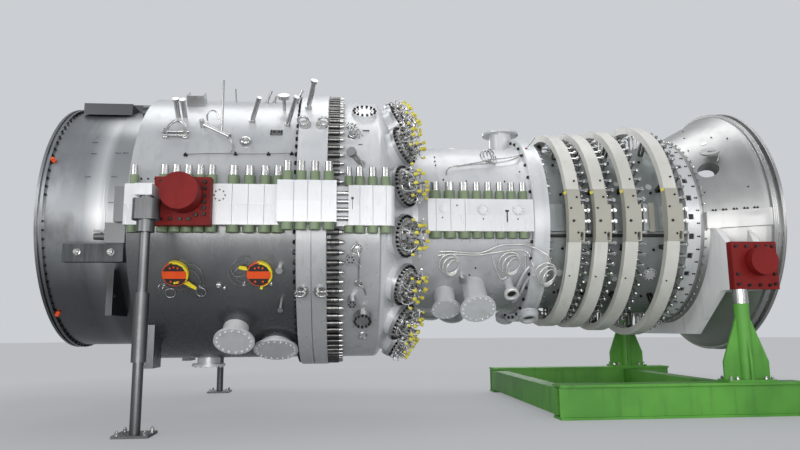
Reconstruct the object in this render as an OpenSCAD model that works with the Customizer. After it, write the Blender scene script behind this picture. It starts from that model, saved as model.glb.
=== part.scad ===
// Heavy-duty gas turbine on its stands, exhaust end at -X, inlet end at +X.
// Lengths are in millimetres. The shaft line runs along X, and z = 0 is the floor.

/* [Shaft line] */
// Height of the shaft line above the floor
axis_height = 3450; // [3300:10:3900]

/* [Exhaust end] */
// Length of the exhaust casing
exhaust_length = 1510; // [1400:10:1700]
// Outer radius of the exhaust casing
exhaust_radius = 2230; // [2150:5:2260]
// Wall of the exhaust casing
exhaust_wall = 80; // [50:5:110]
// How far the rims of the exhaust flange stand proud
exhaust_rim = 45; // [30:5:60]
// Thickness of each rim of the exhaust flange
exhaust_rim_width = 45; // [30:5:60]
// Holes in the bolt circle of the exhaust flange
exhaust_bolts = 12; // [8:4:24]
// Diameter of the flange bolt holes
flange_bore = 26; // [18:1:33]
// Radius of the exhaust hub
exhaust_hub_radius = 950; // [850:10:1050]
// Length of the exhaust hub
exhaust_hub_length = 1000; // [900:10:1080]
// Number of exhaust struts
exhaust_strut_count = 6; // [5:1:8]
// Thickness of an exhaust strut
exhaust_strut_thickness = 130; // [90:5:180]
// Number of blades in the last turbine row
turbine_blade_count = 48; // [36:2:60]

/* [Turbine casing] */
// Outer radius of the turbine casing
turbine_radius = 2500; // [2400:5:2600]
// Length of the turbine casing
turbine_length = 2690; // [2500:10:2900]

/* [Middle flange] */
// How far the flange between turbine and combustor casing stands out
band_rise = 140; // [120:5:180]
// Length of that flange along the shaft
band_length = 500; // [440:10:560]
// Number of flange studs
band_stud_count = 96; // [72:8:112]
// Diameter of a flange stud
band_stud_d = 76; // [60:2:90]
// How far the flange studs reach past the flange
band_stud_length = 250; // [180:10:290]

/* [Combustor casing] */
// Length of its straight part
combustor_length = 910; // [860:10:1000]
// Slope of the burner shoulder, from a plane square to the shaft
shoulder_angle = 35; // [30:1:40]
// Number of burners
burner_count = 16; // [12:2:16]
// Radius of a burner neck
burner_neck_radius = 325; // [280:5:340]
// Height of a burner neck above the shoulder
burner_neck_height = 130; // [100:5:180]
// Radius of a burner flange
burner_flange_radius = 378; // [345:1:385]
// Thickness of a burner flange
burner_flange_thickness = 60; // [40:5:80]
// Fuel stems on each burner
burner_stem_count = 8; // [6:1:10]
// Length of a fuel stem
burner_stem_length = 250; // [180:10:320]

/* [Compressor casing] */
// Outer radius of the compressor casing
compressor_radius = 1650; // [1600:5:1700]
// Length of the compressor casing
compressor_length = 2150; // [2000:10:2300]
// How far its end flange stands out of it
end_flange_rise = 210; // [180:5:240]
// Length of its end flange
end_flange_length = 310; // [260:10:360]

/* [Joint flange] */
// Height of each half of the horizontal joint flange
joint_height = 330; // [280:5:380]
// Height of each half at the compressor
compressor_joint_height = 290; // [240:5:330]
// How far the joint flange stands out of the turbine and compressor casings
joint_reach = 200; // [190:5:230]
// How far it stands out of the middle flange
joint_step = 410; // [380:5:440]
// Pitch of the joint studs by the red lifting block
block_pitch = 187; // [180:1:200]
// Pitch of the joint studs along the turbine casing
turbine_pitch = 253; // [240:1:260]
// Pitch of the joint studs at the middle flange
middle_pitch = 215; // [200:1:225]
// Pitch of the joint studs at the combustors
combustor_pitch = 213; // [200:1:225]
// Pitch of the three large studs of the compressor joint
large_pitch = 260; // [245:1:270]
// Pitch of the small studs of the compressor joint
small_pitch = 211; // [195:1:220]
// Diameter of the stud sleeves along the turbine casing
sleeve_d = 186; // [176:2:190]
// Diameter of the small stud sleeves
small_sleeve_d = 164; // [150:2:170]
// Diameter of the sleeves of the three large studs
large_sleeve_d = 205; // [190:2:215]
// Wall of a stud sleeve
sleeve_wall = 22; // [18:1:28]
// Height of a stud sleeve
sleeve_height = 155; // [110:5:170]
// Height of a joint stud above its sleeve
joint_stud_height = 160; // [110:5:180]
// Height of the round caps below the joint flange
cap_height = 115; // [90:5:130]
// How much wider than a sleeve a cap is
cap_extra = 14; // [0:2:20]
// Clearance between pieces that are seated on each other
seat = 0.3; // [0.2:0.1:0.6]

/* [Variable vanes] */
// Length of the variable vane casing
vane_length = 2560; // [2500:10:2700]
// Outer radius of the vane casing at its small end
vane_radius_small = 1560; // [1520:5:1600]
// Outer radius of the vane casing at its large end
vane_radius_large = 1700; // [1640:5:1720]
// Width of a setting ring
ring_width = 235; // [200:5:250]
// Radial thickness of a setting ring
ring_thickness = 130; // [100:5:140]
// Radius of the first setting ring
ring_radius_1 = 1950; // [1920:2:2000]
// Radius of the second setting ring
ring_radius_2 = 1978; // [1950:2:2030]
// Radius of the third setting ring
ring_radius_3 = 2040; // [2010:2:2090]
// Radius of the fourth setting ring
ring_radius_4 = 2136; // [2100:2:2190]
// Distance of the first ring's far edge from the end flange
ring_station_1 = 526; // [510:2:540]
// The same for the second ring
ring_station_2 = 1004; // [990:2:1020]
// The same for the third ring
ring_station_3 = 1534; // [1515:2:1550]
// The same for the fourth ring
ring_station_4 = 2255; // [2240:2:2270]
// Number of vane levers in a row
lever_count = 60; // [36:4:60]
// Length of a vane lever between its centres
lever_length = 165; // [150:5:175]
// Gap between a lever tip and the side of its ring
lever_gap = 6; // [5:1:10]
// Number of rollers that carry a setting ring
roller_count = 10; // [6:2:12]
// Running gap between a ring and its rollers
roller_gap = 0.6; // [0.5:0.1:0.9]

/* [Inlet end] */
// Length of the strut casing
strut_length = 250; // [220:10:300]
// Outer radius of the strut casing
strut_radius = 1830; // [1800:5:1860]
// Length of the inlet bell
bell_length = 1230; // [1150:10:1300]
// Wall of the inlet bell
bell_wall = 45; // [35:5:60]
// Outer radius of the inlet rim
rim_radius = 2440; // [2380:5:2500]
// Radius of the flow path at the guide vanes
inlet_radius = 1600; // [1560:5:1640]
// Holes in the bolt circle of the inlet rim
rim_bolts = 12; // [8:4:24]
// Radius of the inlet hub
inlet_hub_radius = 760; // [700:10:820]
// Number of inlet struts
inlet_strut_count = 6; // [5:1:8]
// Number of inlet guide vanes
guide_vane_count = 40; // [32:2:48]
// Radius of the shaft coupling
coupling_radius = 430; // [380:5:480]
// Holes in the shaft coupling
coupling_bolts = 12; // [8:4:16]

/* [Supports] */
// Distance of the exhaust columns from the joint flange
column_reach = 600; // [580:5:640]
// Diameter of an exhaust column
column_d = 150; // [120:5:170]
// Diameter of the sleeve round a column
column_sleeve_d = 210; // [190:5:230]
// Width of a column nut
column_nut_d = 400; // [340:10:420]
// Width of the red lifting block
block_width = 860; // [780:10:880]
// Diameter of the red lifting trunnion
trunnion_d = 570; // [500:5:600]
// Height of the red inlet block
inlet_block = 820; // [760:10:840]
// Width of the red inlet block
inlet_block_width = 810; // [760:10:840]
// Diameter of the red inlet trunnion
inlet_trunnion_d = 480; // [430:5:520]
// Diameter of the steel jack post
post_d = 250; // [220:5:280]
// Height of a base beam
beam_height = 550; // [480:10:600]
// Width of a base beam
beam_width = 420; // [360:10:480]
// Length of a base beam
beam_length = 4230; // [4100:10:4400]

/* [Hidden] */

// Smoothness of large and of small rounds
fine = 192;
medium = 64;
small = 24;

// Stations along the shaft, from the exhaust end
shoulder_length = (turbine_radius - compressor_radius) * tan(shoulder_angle);
total_length = exhaust_length + turbine_length + band_length + combustor_length + shoulder_length
    + compressor_length + end_flange_length + vane_length + strut_length + bell_length;
x_start = -total_length / 2;
x_turbine = x_start + exhaust_length;
x_band = x_turbine + turbine_length;
x_combustor = x_band + band_length;
x_shoulder = x_combustor + combustor_length;
x_compressor = x_shoulder + shoulder_length;
x_end_flange = x_compressor + compressor_length;
x_vane = x_end_flange + end_flange_length;
x_strut = x_vane + vane_length;
x_bell = x_strut + strut_length;
x_end = x_bell + bell_length;

// Joint flange along the turbine casing, from its exhaust end
band_radius = turbine_radius + band_rise;
joint_face = turbine_radius + joint_reach;
step_face = band_radius + joint_step;
compressor_face = compressor_radius + joint_reach;
end_flange_radius = compressor_radius + end_flange_rise;
// Ends of the stretches of joint flange
joint_start = x_turbine;
step_start = x_band - 260;
step_end = x_combustor + 160;
tail_start = step_end + 190;
tail_end = x_shoulder + 200;
compressor_joint_start = x_compressor + 250;
// Depth of the notch that shows the studs of the middle flange in the joint flange
notch_depth = 110;

// Burner places on the shoulder
burner_middle = (turbine_radius + compressor_radius) / 2 + 40;
burner_foot_x = x_shoulder + (turbine_radius - burner_middle) * tan(shoulder_angle);

// Setting rings: right edge of each, from the face of the end flange
ring_radii = [ring_radius_1, ring_radius_2, ring_radius_3, ring_radius_4];
ring_edges = [x_vane + ring_station_1, x_vane + ring_station_2, x_vane + ring_station_3,
    x_vane + ring_station_4];
land_height = 30;
land_width = 120;
stem_d = 44;
boss_d = 76;
lever_thickness = 22;
lever_width = 46;
lever_drop = 95;

// Points and places on the machine
module on_axis() {
    translate([0, 0, axis_height]) children();
}

// Turns local +Z to the radial direction at an angle above the near side
module radial_at(angle) {
    rotate([90 - angle, 0, 0]) children();
}

module both_sides() {
    children();
    mirror([0, 1, 0]) children();
}

// A profile of [radius, x] points turned round the shaft line
module turned(profile, facets = fine) {
    on_axis() rotate([0, 90, 0]) rotate_extrude($fn = facets) polygon(profile);
}

// The same, as the half above (1) or below (-1) the joint plane
module turned_half(profile, side) {
    on_axis() rotate([0, 90, 0]) rotate([0, 0, 90 * side])
        rotate_extrude(angle = 180, $fn = fine) polygon(profile);
}

// A solid disc or tube round the shaft line between two stations
function tube_profile(x1, x2, outer, inner = 0) =
    [[inner, x1], [outer, x1], [outer, x2], [inner, x2]];

// A box given by its low and high corners, with z measured from the shaft line
module block(low, high) {
    on_axis() translate(low) cube(high - low);
}

// A cylinder along Y on the near side, from one distance to another
module side_pin(x, z, d, from, to) {
    on_axis() translate([x, -from, z]) rotate([90, 0, 0]) cylinder(d = d, h = to - from, $fn = medium);
}

// A blade or strut section with round nose and thin tail, chord along X
function blade_outline(chord, thickness, bow, steps = 5) = concat(
    [for (i = [0:steps]) let (t = i / steps)
        [chord * (t - 0.5), thickness * 0.5 * sin(180 * pow(t, 0.7)) + bow * sin(180 * t)]],
    [for (i = [steps - 1:-1:1]) let (t = i / steps)
        [chord * (t - 0.5), -thickness * 0.5 * sin(180 * pow(t, 0.7)) + bow * sin(180 * t)]]);

// Radial blades between two radii, at a station along the shaft
module blade_row(count, x, inner, outer, chord, thickness, bow, stagger) {
    for (k = [0:count - 1])
        on_axis() rotate([360 * (k + 0.5) / count, 0, 0]) translate([x, 0, inner])
            rotate([0, 0, stagger]) linear_extrude(outer - inner)
                polygon(blade_outline(chord, thickness, bow));
}

// Exhaust end

exhaust_inner = exhaust_radius - exhaust_wall;
exhaust_flange_radius = exhaust_radius + exhaust_rim;
rim_gap = 30;
seam_x = x_start + 1050;
seam_width = 60;
exhaust_bolt_circle = exhaust_radius - exhaust_wall / 2;

function exhaust_profile() = [
    [exhaust_inner, x_start],
    [exhaust_flange_radius, x_start],
    [exhaust_flange_radius, x_start + exhaust_rim_width],
    [exhaust_radius + 5, x_start + exhaust_rim_width],
    [exhaust_radius + 5, x_start + exhaust_rim_width + rim_gap],
    [exhaust_flange_radius, x_start + exhaust_rim_width + rim_gap],
    [exhaust_flange_radius, x_start + 2 * exhaust_rim_width + rim_gap],
    [exhaust_radius, x_start + 2 * exhaust_rim_width + rim_gap],
    [exhaust_radius, seam_x],
    [exhaust_radius + 14, seam_x + 8],
    [exhaust_radius + 14, seam_x + seam_width - 8],
    [exhaust_radius + 22, seam_x + seam_width],
    [exhaust_radius + 22, x_turbine],
    [exhaust_inner, x_turbine]];

module exhaust_casing() {
    color("silver") difference() {
        turned(exhaust_profile());
        for (k = [0:exhaust_bolts - 1])
            on_axis() rotate([360 * (k + 0.5) / exhaust_bolts, 0, 0])
                translate([x_start, 0, exhaust_bolt_circle]) rotate([0, 90, 0])
                    cylinder(d = flange_bore, h = 4 * exhaust_rim_width, center = true, $fn = small);
    }
}

// The hub is a drum with a dished end, held in the casing by radial struts
rotor_disc_length = 240;
hub_disc_gap = 20;
hub_start = x_turbine - rotor_disc_length - hub_disc_gap - exhaust_hub_length;
hub_cover_radius = 420;

module exhaust_hub() {
    r = exhaust_hub_radius;
    color("gray") turned([
        [0, hub_start - 50],
        [hub_cover_radius, hub_start - 50],
        [hub_cover_radius, hub_start],
        [r - 160, hub_start],
        [r - 40, hub_start + 60],
        [r, hub_start + 180],
        [r, hub_start + exhaust_hub_length],
        [0, hub_start + exhaust_hub_length]]);
}

module exhaust_struts() {
    chord = 620;
    x = hub_start + exhaust_hub_length - chord / 2 - 60;
    color("silver") difference() {
        intersection() {
            blade_row(exhaust_strut_count, x, exhaust_hub_radius - 120, exhaust_radius,
                chord, exhaust_strut_thickness, 0, 0);
            turned(tube_profile(x - chord, x + chord, exhaust_inner));
        }
        turned(tube_profile(x - chord, x + chord, exhaust_hub_radius));
    }
}

blade_tip_gap = 12;

module turbine_blades() {
    disc = exhaust_hub_radius + 30;
    middle = x_turbine - rotor_disc_length / 2;
    color("dimgray") {
        turned(tube_profile(x_turbine - rotor_disc_length, x_turbine, disc));
        blade_row(turbine_blade_count, middle, disc - 30, exhaust_inner - blade_tip_gap,
            rotor_disc_length - 20, 34, 30, 22);
    }
}

// Side ledges, dowels and top boxes of the exhaust casing
module exhaust_brackets() {
    ledge_low = -880;
    ledge_high = -580;
    ledge_face = exhaust_radius + 30;
    inner_face = exhaust_radius - 230;
    top_low = exhaust_radius - 400;
    top_plate_reach = 720;
    top_plate_rise = 45;
    side_plate_reach = 1150;
    color("dimgray") difference() {
        union() {
            both_sides() {
                block([x_start + 470, -ledge_face, ledge_low], [x_turbine - 90, -inner_face + 100, ledge_high]);
                block([x_turbine - 380, -ledge_face - 60, ledge_high], [x_turbine - 60, -inner_face, -250]);
                block([x_turbine - 220, -ledge_face - 170, -250], [x_turbine - 60, -inner_face, joint_height]);
                on_axis() translate([x_turbine - 560, -ledge_face + 20, -470]) rotate([0, 90, 0])
                    cylinder(d = 110, h = 180, $fn = medium);
                block([x_turbine - 300, -ledge_face - 40, -1740], [x_turbine - 200, -1500, -1020]);
            }
            block([x_start + 250, -top_plate_reach, top_low],
                [x_turbine - 200, top_plate_reach, exhaust_radius + top_plate_rise]);
            both_sides() {
                block([x_start + 230, -side_plate_reach, top_low], [x_start + 1090, -600, exhaust_radius - 80]);
                on_axis() translate([x_turbine - 230, -1050, exhaust_radius - 210]) rotate([0, 90, 0])
                    cylinder(d = 260, h = 190, $fn = medium);
            }
        }
        turned(tube_profile(x_start - 10, x_turbine + 10, exhaust_radius + 22));
        on_axis() both_sides() translate([x_turbine - 250, -ledge_face + 60, -1420]) rotate([0, 90, 0])
            cylinder(d = 120, h = 200, center = true, $fn = medium);
    }
}

// Turbine casing and its joint flange

// A row of joint studs is [station of the first, pitch, count]
block_row = [joint_start + 601, block_pitch, 5];
turbine_row = [step_start - 741, turbine_pitch, 3];
middle_row = [step_start + 150, middle_pitch, 4];
combustor_row = [tail_end - 151 - 2 * combustor_pitch, combustor_pitch, 3];
large_row = [compressor_joint_start + 142, large_pitch, 3];
small_row = [x_end_flange - 167 - 4 * small_pitch, small_pitch, 5];
function row_x(row, k) = row[0] + k * row[1];

// Slots cut in the face of a joint flange, at a row of stations
slot_width = 12;
slot_depth = 26;

module flange_slots(row, face, height) {
    on_axis() for (k = [0:row[2] - 1])
        translate([row_x(row, k) - slot_width / 2, -face - 1, -height - 1])
            cube([slot_width, slot_depth, 2 * height + 2]);
}

// A stretch of joint flange on both sides, as one half
module joint_flange(x1, x2, face, height, side) {
    low = side > 0 ? 0 : -height;
    both_sides() block([x1, -face, low], [x2, 0, low + height]);
}

// The first stretch of the flange stands back behind the exhaust column
lead_length = 240;
lead_setback = 60;
lead_sleeve_d = 140;

module turbine_casing(side) {
    difference() {
        union() {
            turned_half(tube_profile(x_turbine, x_band, turbine_radius), side);
            joint_flange(joint_start + lead_length, x_band, joint_face, joint_height, side);
            joint_flange(joint_start, joint_start + lead_length, joint_face - lead_setback, joint_height, side);
        }
        both_sides() flange_slots(turbine_row, joint_face, joint_height);
    }
}

module turbine_casing_upper() {
    color("white") difference() {
        turbine_casing(1);
        step_cut(1);
    }
}

// Feet under the lower half, at the exhaust end
module turbine_casing_lower() {
    color("lightgray") {
        difference() {
            turbine_casing(-1);
            step_cut(-1);
        }
        difference() {
            both_sides() block([x_turbine + 130, -1640, -turbine_radius - 110],
                [x_turbine + 300, -1150, -1700]);
            turned(tube_profile(x_turbine, x_band, turbine_radius - 40));
        }
    }
}

// Room for the step of the joint flange that reaches over the turbine casing
step_clearance = 20;

module step_cut(side) {
    difference() {
        both_sides() block([step_start - seat, -joint_face - 1, side > 0 ? -1 : -joint_height - 1],
            [x_band + 1, -turbine_radius + 200, side > 0 ? joint_height + 1 : 1]);
        turned(tube_profile(step_start - 1, x_band + 2, turbine_radius + step_clearance));
    }
}

// The middle flange has two plates, with a groove between them in the lower half
module middle_flange(side) {
    groove = side > 0 ? 0 : 14;
    middle = x_band + band_length / 2;
    turned_half([[0, x_band], [band_radius - 12, x_band], [band_radius, x_band + 12],
        [band_radius, middle - groove / 2], [band_radius - 40, middle - groove / 2],
        [band_radius - 40, middle + groove / 2], [band_radius, middle + groove / 2],
        [band_radius, x_combustor - 12], [band_radius - 12, x_combustor], [0, x_combustor]], side);
    low = side > 0 ? 0 : -joint_height;
    between_studs = [row_x(middle_row, 0.5), middle_pitch, 3];
    both_sides() difference() {
        block([step_start, -step_face, low], [step_end, -turbine_radius + 200, low + joint_height]);
        flange_slots(between_studs, step_face, joint_height);
        turned(tube_profile(step_start - 1, x_band, turbine_radius + step_clearance + seat));
        turned(tube_profile(x_combustor, step_end + 1, turbine_radius + step_clearance + seat));
    }
}

module middle_flange_upper() {
    color("white") middle_flange(1);
}

module middle_flange_lower() {
    color("lightgray") middle_flange(-1);
}

// Studs stand out of the middle flange towards the combustors, clear of the joint flange
band_stud_circle = band_radius - 70;

module middle_flange_studs() {
    pitch = 360 / band_stud_count;
    clear_angle = asin((joint_height + band_stud_d) / band_stud_circle);
    color("silver") for (k = [0:band_stud_count - 1]) {
        angle = (k + 0.5) * pitch;
        from_joint = abs(asin(sin(angle)));
        if (from_joint > clear_angle)
            on_axis() radial_at(angle) translate([x_combustor + seat, 0, band_stud_circle])
                rotate([0, 90, 0]) cylinder(d = band_stud_d, h = band_stud_length, $fn = small);
    }
    // Four studs on each side run through the gap in the joint flange
    color("silver") both_sides() for (k = [-1.5:1:1.5])
        on_axis() translate([step_end + seat, -joint_face + 60, k * joint_height * 0.42])
            rotate([0, 90, 0]) cylinder(d = band_stud_d, h = tail_start - step_end - 2 * seat, $fn = small);
}

// Combustor casing

function combustor_profile() = [
    [0, x_combustor],
    [turbine_radius - band_stud_d - 10, x_combustor],
    [turbine_radius - band_stud_d - 10, x_combustor + 60],
    [turbine_radius - 40, x_combustor + 130],
    [turbine_radius, x_combustor + 200],
    [turbine_radius, x_shoulder - 40],
    [turbine_radius - 30, x_shoulder + 10],
    [compressor_radius, x_compressor],
    [0, x_compressor]];

// Places local +Z along a burner axis, with its origin on the shoulder
module at_burners(side) {
    pitch = 360 / burner_count;
    for (k = [0:burner_count - 1]) {
        angle = (k + 0.5) * pitch;
        if (side == 0 || (side > 0) == (sin(angle) > 0))
            on_axis() radial_at(angle) translate([burner_foot_x, 0, burner_middle])
                rotate([0, 90 - shoulder_angle, 0]) children();
    }
}

module burner_neck() {
    sunk = 150;
    translate([0, 0, -sunk]) cylinder(r = burner_neck_radius, h = sunk + burner_neck_height, $fn = medium);
}

// The joint flange is cut back round the nearest burner flanges
burner_room_clearance = 12;

module burner_room() {
    at_burners(0) translate([0, 0, burner_neck_height - burner_room_clearance])
        cylinder(r = burner_flange_radius + burner_room_clearance, h = 400, $fn = medium);
}

module combustor_casing(side) {
    corner = 120;
    low = side > 0 ? 0 : -joint_height;
    turned_half(combustor_profile(), side);
    at_burners(side) burner_neck();
    difference() {
        union() {
            joint_flange(step_end + seat, tail_start, joint_face - notch_depth, joint_height, side);
            joint_flange(tail_start, tail_end - corner, joint_face, joint_height, side);
            joint_flange(tail_end - corner, tail_end, joint_face - corner, joint_height, side);
            // The flange ends in a round corner
            both_sides() on_axis() translate([tail_end - corner, -joint_face + corner, low])
                cylinder(r = corner, h = joint_height, $fn = medium);
        }
        both_sides() flange_slots(combustor_row, joint_face, joint_height);
        burner_room();
    }
}

module combustor_casing_upper() {
    color("white") combustor_casing(1);
}

module combustor_casing_lower() {
    color("lightgray") combustor_casing(-1);
}

// A burner flange steps up to a raised ring and a round burner head
burner_ring_height = 35;
burner_head_height = 90;

module burner_flanges() {
    ring_top = burner_flange_thickness + burner_ring_height;
    color("silver") at_burners(0) translate([0, 0, burner_neck_height + seat]) {
        cylinder(r = burner_flange_radius, h = burner_flange_thickness, $fn = medium);
        cylinder(r = burner_flange_radius * 0.68, h = ring_top, $fn = medium);
        cylinder(r = burner_flange_radius * 0.44, h = ring_top + burner_head_height * 0.6, $fn = medium);
        cylinder(r = burner_flange_radius * 0.24, h = ring_top + burner_head_height, $fn = medium);
    }
}

// Fuel stems stand on the raised ring, each with a cap
burner_stem_d = 30;
burner_stem_foot = burner_neck_height + burner_flange_thickness + burner_ring_height + 2 * seat;

module at_burner_stems() {
    at_burners(0) for (k = [0:burner_stem_count - 1])
        rotate([0, 0, 360 * (k + 0.5) / burner_stem_count])
            translate([burner_flange_radius * 0.55, 0, burner_stem_foot]) children();
}

module burner_stems() {
    color("silver") at_burner_stems() cylinder(d = burner_stem_d, h = burner_stem_length, $fn = small);
}

module burner_caps() {
    color("yellow") at_burner_stems() translate([0, 0, burner_stem_length + seat])
        cylinder(d = burner_stem_d + 22, h = 52, $fn = small);
}

// Compressor casing

// The casing widens a little towards its end flange
compressor_profile = [
    [0, x_compressor],
    [compressor_radius, x_compressor],
    [compressor_radius, x_end_flange - 120],
    [compressor_radius + 60, x_end_flange],
    [0, x_end_flange]];

// The joint flange grows out of the casing with a slanted end
module compressor_joint(side) {
    taper = 200;
    outline = [[compressor_joint_start - taper, 0], [compressor_joint_start - taper, compressor_radius - 60],
        [compressor_joint_start, compressor_face], [x_end_flange, compressor_face], [x_end_flange, 0]];
    both_sides() on_axis() mirror([0, 1, 0]) translate([0, 0, side > 0 ? 0 : -compressor_joint_height])
        linear_extrude(compressor_joint_height) polygon(outline);
}

module compressor_casing(side) {
    difference() {
        union() {
            turned_half(compressor_profile, side);
            compressor_joint(side);
        }
        both_sides() flange_slots(large_row, compressor_face, compressor_joint_height);
    }
}

module compressor_casing_upper() {
    color("white") compressor_casing(1);
}

module compressor_casing_lower() {
    color("lightgray") compressor_casing(-1);
}

module compressor_end_flange() {
    x = x_end_flange;
    l = end_flange_length;
    r = end_flange_radius;
    color("whitesmoke") turned([[0, x], [r - 30, x], [r, x + 20], [r, x + l * 0.6],
        [r - 50, x + l * 0.6], [r - 50, x + l], [0, x + l]]);
}

// Studs of the horizontal joint, with sleeves above and caps below. Each stands back from
// the face of its flange by half its sleeve and a small edge.
stud_edge = 8;

module joint_stud_row(row, face, height, d, inset, length) {
    for (k = [0:row[2] - 1])
        both_sides() translate([row_x(row, k), -face + d / 2 + stud_edge, height])
            cylinder(d = d - 2 * inset, h = length, $fn = medium);
}

// All rows, above (1) or below (-1) the flange; inset is taken off the radius of a sleeve
module joint_stud_rows(side, rise, inset, length) {
    tall = joint_height + rise;
    low = compressor_joint_height + rise;
    lead_row = [joint_start + lead_length / 2, 0, 1];
    // One stud stands behind the edge of the step, and one at the edge of the combustor block
    hidden_row = [step_start - 25, 0, 1];
    tail_row = [tail_start + 5, 0, 1];
    on_axis() mirror([0, 0, side > 0 ? 0 : 1]) {
        joint_stud_row(lead_row, joint_face - lead_setback, tall, lead_sleeve_d, inset, length);
        joint_stud_row(block_row, joint_face, tall, small_sleeve_d, inset, length);
        joint_stud_row(turbine_row, joint_face, tall, sleeve_d, inset, length);
        joint_stud_row(middle_row, step_face, tall, small_sleeve_d, inset, length);
        joint_stud_row(hidden_row, joint_face, tall, sleeve_d, inset, length);
        joint_stud_row(tail_row, joint_face, tall, lead_sleeve_d, inset, length);
        joint_stud_row(combustor_row, joint_face, tall, small_sleeve_d, inset, length);
        joint_stud_row(large_row, compressor_face, low, large_sleeve_d, inset, length);
        joint_stud_row(small_row, compressor_face, low, small_sleeve_d, inset, length);
    }
}

module joint_sleeves() {
    color("darkseagreen") joint_stud_rows(1, seat, 0, sleeve_height);
}

module joint_studs() {
    color("silver") joint_stud_rows(1, sleeve_height + 2 * seat, sleeve_wall, joint_stud_height);
}

module joint_caps() {
    color("darkseagreen") joint_stud_rows(-1, seat, -cap_extra / 2, cap_height);
}

// Variable vane section

// Radius of the vane casing at a station
function vane_casing_radius(x) =
    vane_radius_small + (vane_radius_large - vane_radius_small) * (x - x_vane) / vane_length;

// Where the vane stems of a ring stand
function stem_x(i) = ring_edges[i] + lever_gap + lever_length;
function land_radius(i) = vane_casing_radius(stem_x(i)) + land_height;
// Each land in the casing profile is a step up and a step down
function land_points(i) = [
    [vane_casing_radius(stem_x(i) - land_width / 2), stem_x(i) - land_width / 2],
    [land_radius(i), stem_x(i) - land_width / 2],
    [land_radius(i), stem_x(i) + land_width / 2],
    [vane_casing_radius(stem_x(i) + land_width / 2), stem_x(i) + land_width / 2]];

// Joint flange of the vane casing, and the pocket that holds its first blade row
vane_joint_height = 250;
vane_joint_reach = 45;
blade_pocket = 260;

module vane_casing() {
    top = concat([[vane_radius_small, x_vane]], land_points(0), land_points(1), land_points(2),
        land_points(3), [[vane_radius_large, x_strut]]);
    starts = concat([x_vane], [for (i = [0:3]) stem_x(i) + land_width / 2]);
    ends = concat([for (i = [0:3]) stem_x(i) - land_width / 2], [x_strut]);
    color("slategray") difference() {
        union() {
            turned(concat([[0, x_vane]], top, [[0, x_strut]]));
            for (i = [0:4])
                block([starts[i] + 8, -vane_casing_radius(ends[i]) - vane_joint_reach, -vane_joint_height],
                    [ends[i] - 8, vane_casing_radius(ends[i]) + vane_joint_reach, vane_joint_height]);
        }
        turned(tube_profile(x_strut - blade_pocket, x_strut + 1, inlet_radius));
    }
}

// A setting ring with a joint block on each side
clamp_height = 470;
clamp_low = -480;
// Below this height the clamp also stands out beside the ring
clamp_split = 180;
clamp_reach = 22;
clamp_overhang = 55;
clamp_plate = 60;
// The clamp is adjusted through a slot in its lower half
clamp_slot = 56;
clamp_slot_low = -430;
clamp_slot_high = -335;

module vane_ring(i) {
    outer = ring_radii[i];
    right = ring_edges[i];
    left = right - ring_width;
    color("antiquewhite") difference() {
        union() {
            turned(tube_profile(left, right, outer, outer - ring_thickness));
            intersection() {
                both_sides() {
                    block([left, -outer - 100, clamp_low], [right + clamp_overhang, -outer / 2, clamp_split]);
                    block([left, -outer - 100, clamp_low], [right, -outer / 2, clamp_height]);
                }
                turned(tube_profile(left, right + clamp_overhang, outer + clamp_reach, outer - clamp_plate));
            }
        }
        both_sides() on_axis() for (z = [clamp_slot_low, clamp_slot_high])
            translate([right, -outer - 100, z]) rotate([-90, 0, 0])
                cylinder(d = clamp_slot, h = 200, $fn = small);
        both_sides() block([right - clamp_slot / 2, -outer - 100, clamp_slot_low],
            [right + clamp_slot / 2, -outer + 100, clamp_slot_high]);
    }
}

module vane_ring_1() vane_ring(0);
module vane_ring_2() vane_ring(1);
module vane_ring_3() vane_ring(2);
module vane_ring_4() vane_ring(3);

// A lever is clamped on its vane stem and reaches to the side of the ring
module vane_levers(i) {
    arm_height = ring_radii[i] - lever_drop - land_radius(i);
    reach = lever_length - boss_d / 2 + 10;
    color("silver") for (k = [0:lever_count - 1])
        on_axis() radial_at(360 * (k + 0.5) / lever_count) translate([stem_x(i), 0, land_radius(i) + seat]) {
            cylinder(d = stem_d, h = arm_height + 30, $fn = small);
            cylinder(d = boss_d, h = 30, $fn = small);
            translate([0, 0, arm_height - 14 - lever_thickness]) cylinder(d = boss_d, h = lever_thickness + 28, $fn = small);
            translate([-lever_length, -lever_width / 2, arm_height - lever_thickness])
                cube([reach, lever_width, lever_thickness]);
        }
}

module vane_levers_1() vane_levers(0);
module vane_levers_2() vane_levers(1);
module vane_levers_3() vane_levers(2);
module vane_levers_4() vane_levers(3);

// Rollers on forked brackets carry each ring from inside
roller_d = 70;

module ring_rollers() {
    color("gray") for (i = [0:3], k = [0:roller_count - 1]) {
        inner = ring_radii[i] - ring_thickness - roller_gap;
        x = ring_edges[i] - ring_width * 0.5;
        foot = vane_casing_radius(x + 45) + seat;
        on_axis() radial_at(360 * (k + 0.5) / roller_count) translate([x, 0, 0]) {
            translate([-45, -35, foot]) cube([18, 70, inner - foot - 20]);
            translate([27, -35, foot]) cube([18, 70, inner - foot - 20]);
            translate([-45, -35, foot]) cube([90, 70, 20]);
            translate([-60, 0, inner - roller_d / 2]) rotate([0, 90, 0]) cylinder(d = 24, h = 120, $fn = small);
            translate([-24, 0, inner - roller_d / 2]) rotate([0, 90, 0]) cylinder(d = roller_d, h = 48, $fn = small);
        }
    }
}

// Inlet end

module strut_casing() {
    pocket = 100;
    pocket_depth = 120;
    pockets = 32;
    color("antiquewhite") difference() {
        turned(tube_profile(x_strut, x_bell, strut_radius, inlet_radius));
        for (k = [0:pockets - 1])
            on_axis() radial_at(360 * k / pockets)
                translate([x_strut + 20, -pocket / 2, strut_radius - pocket_depth])
                    cube([pocket, pocket, 2 * pocket_depth]);
    }
}

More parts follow.
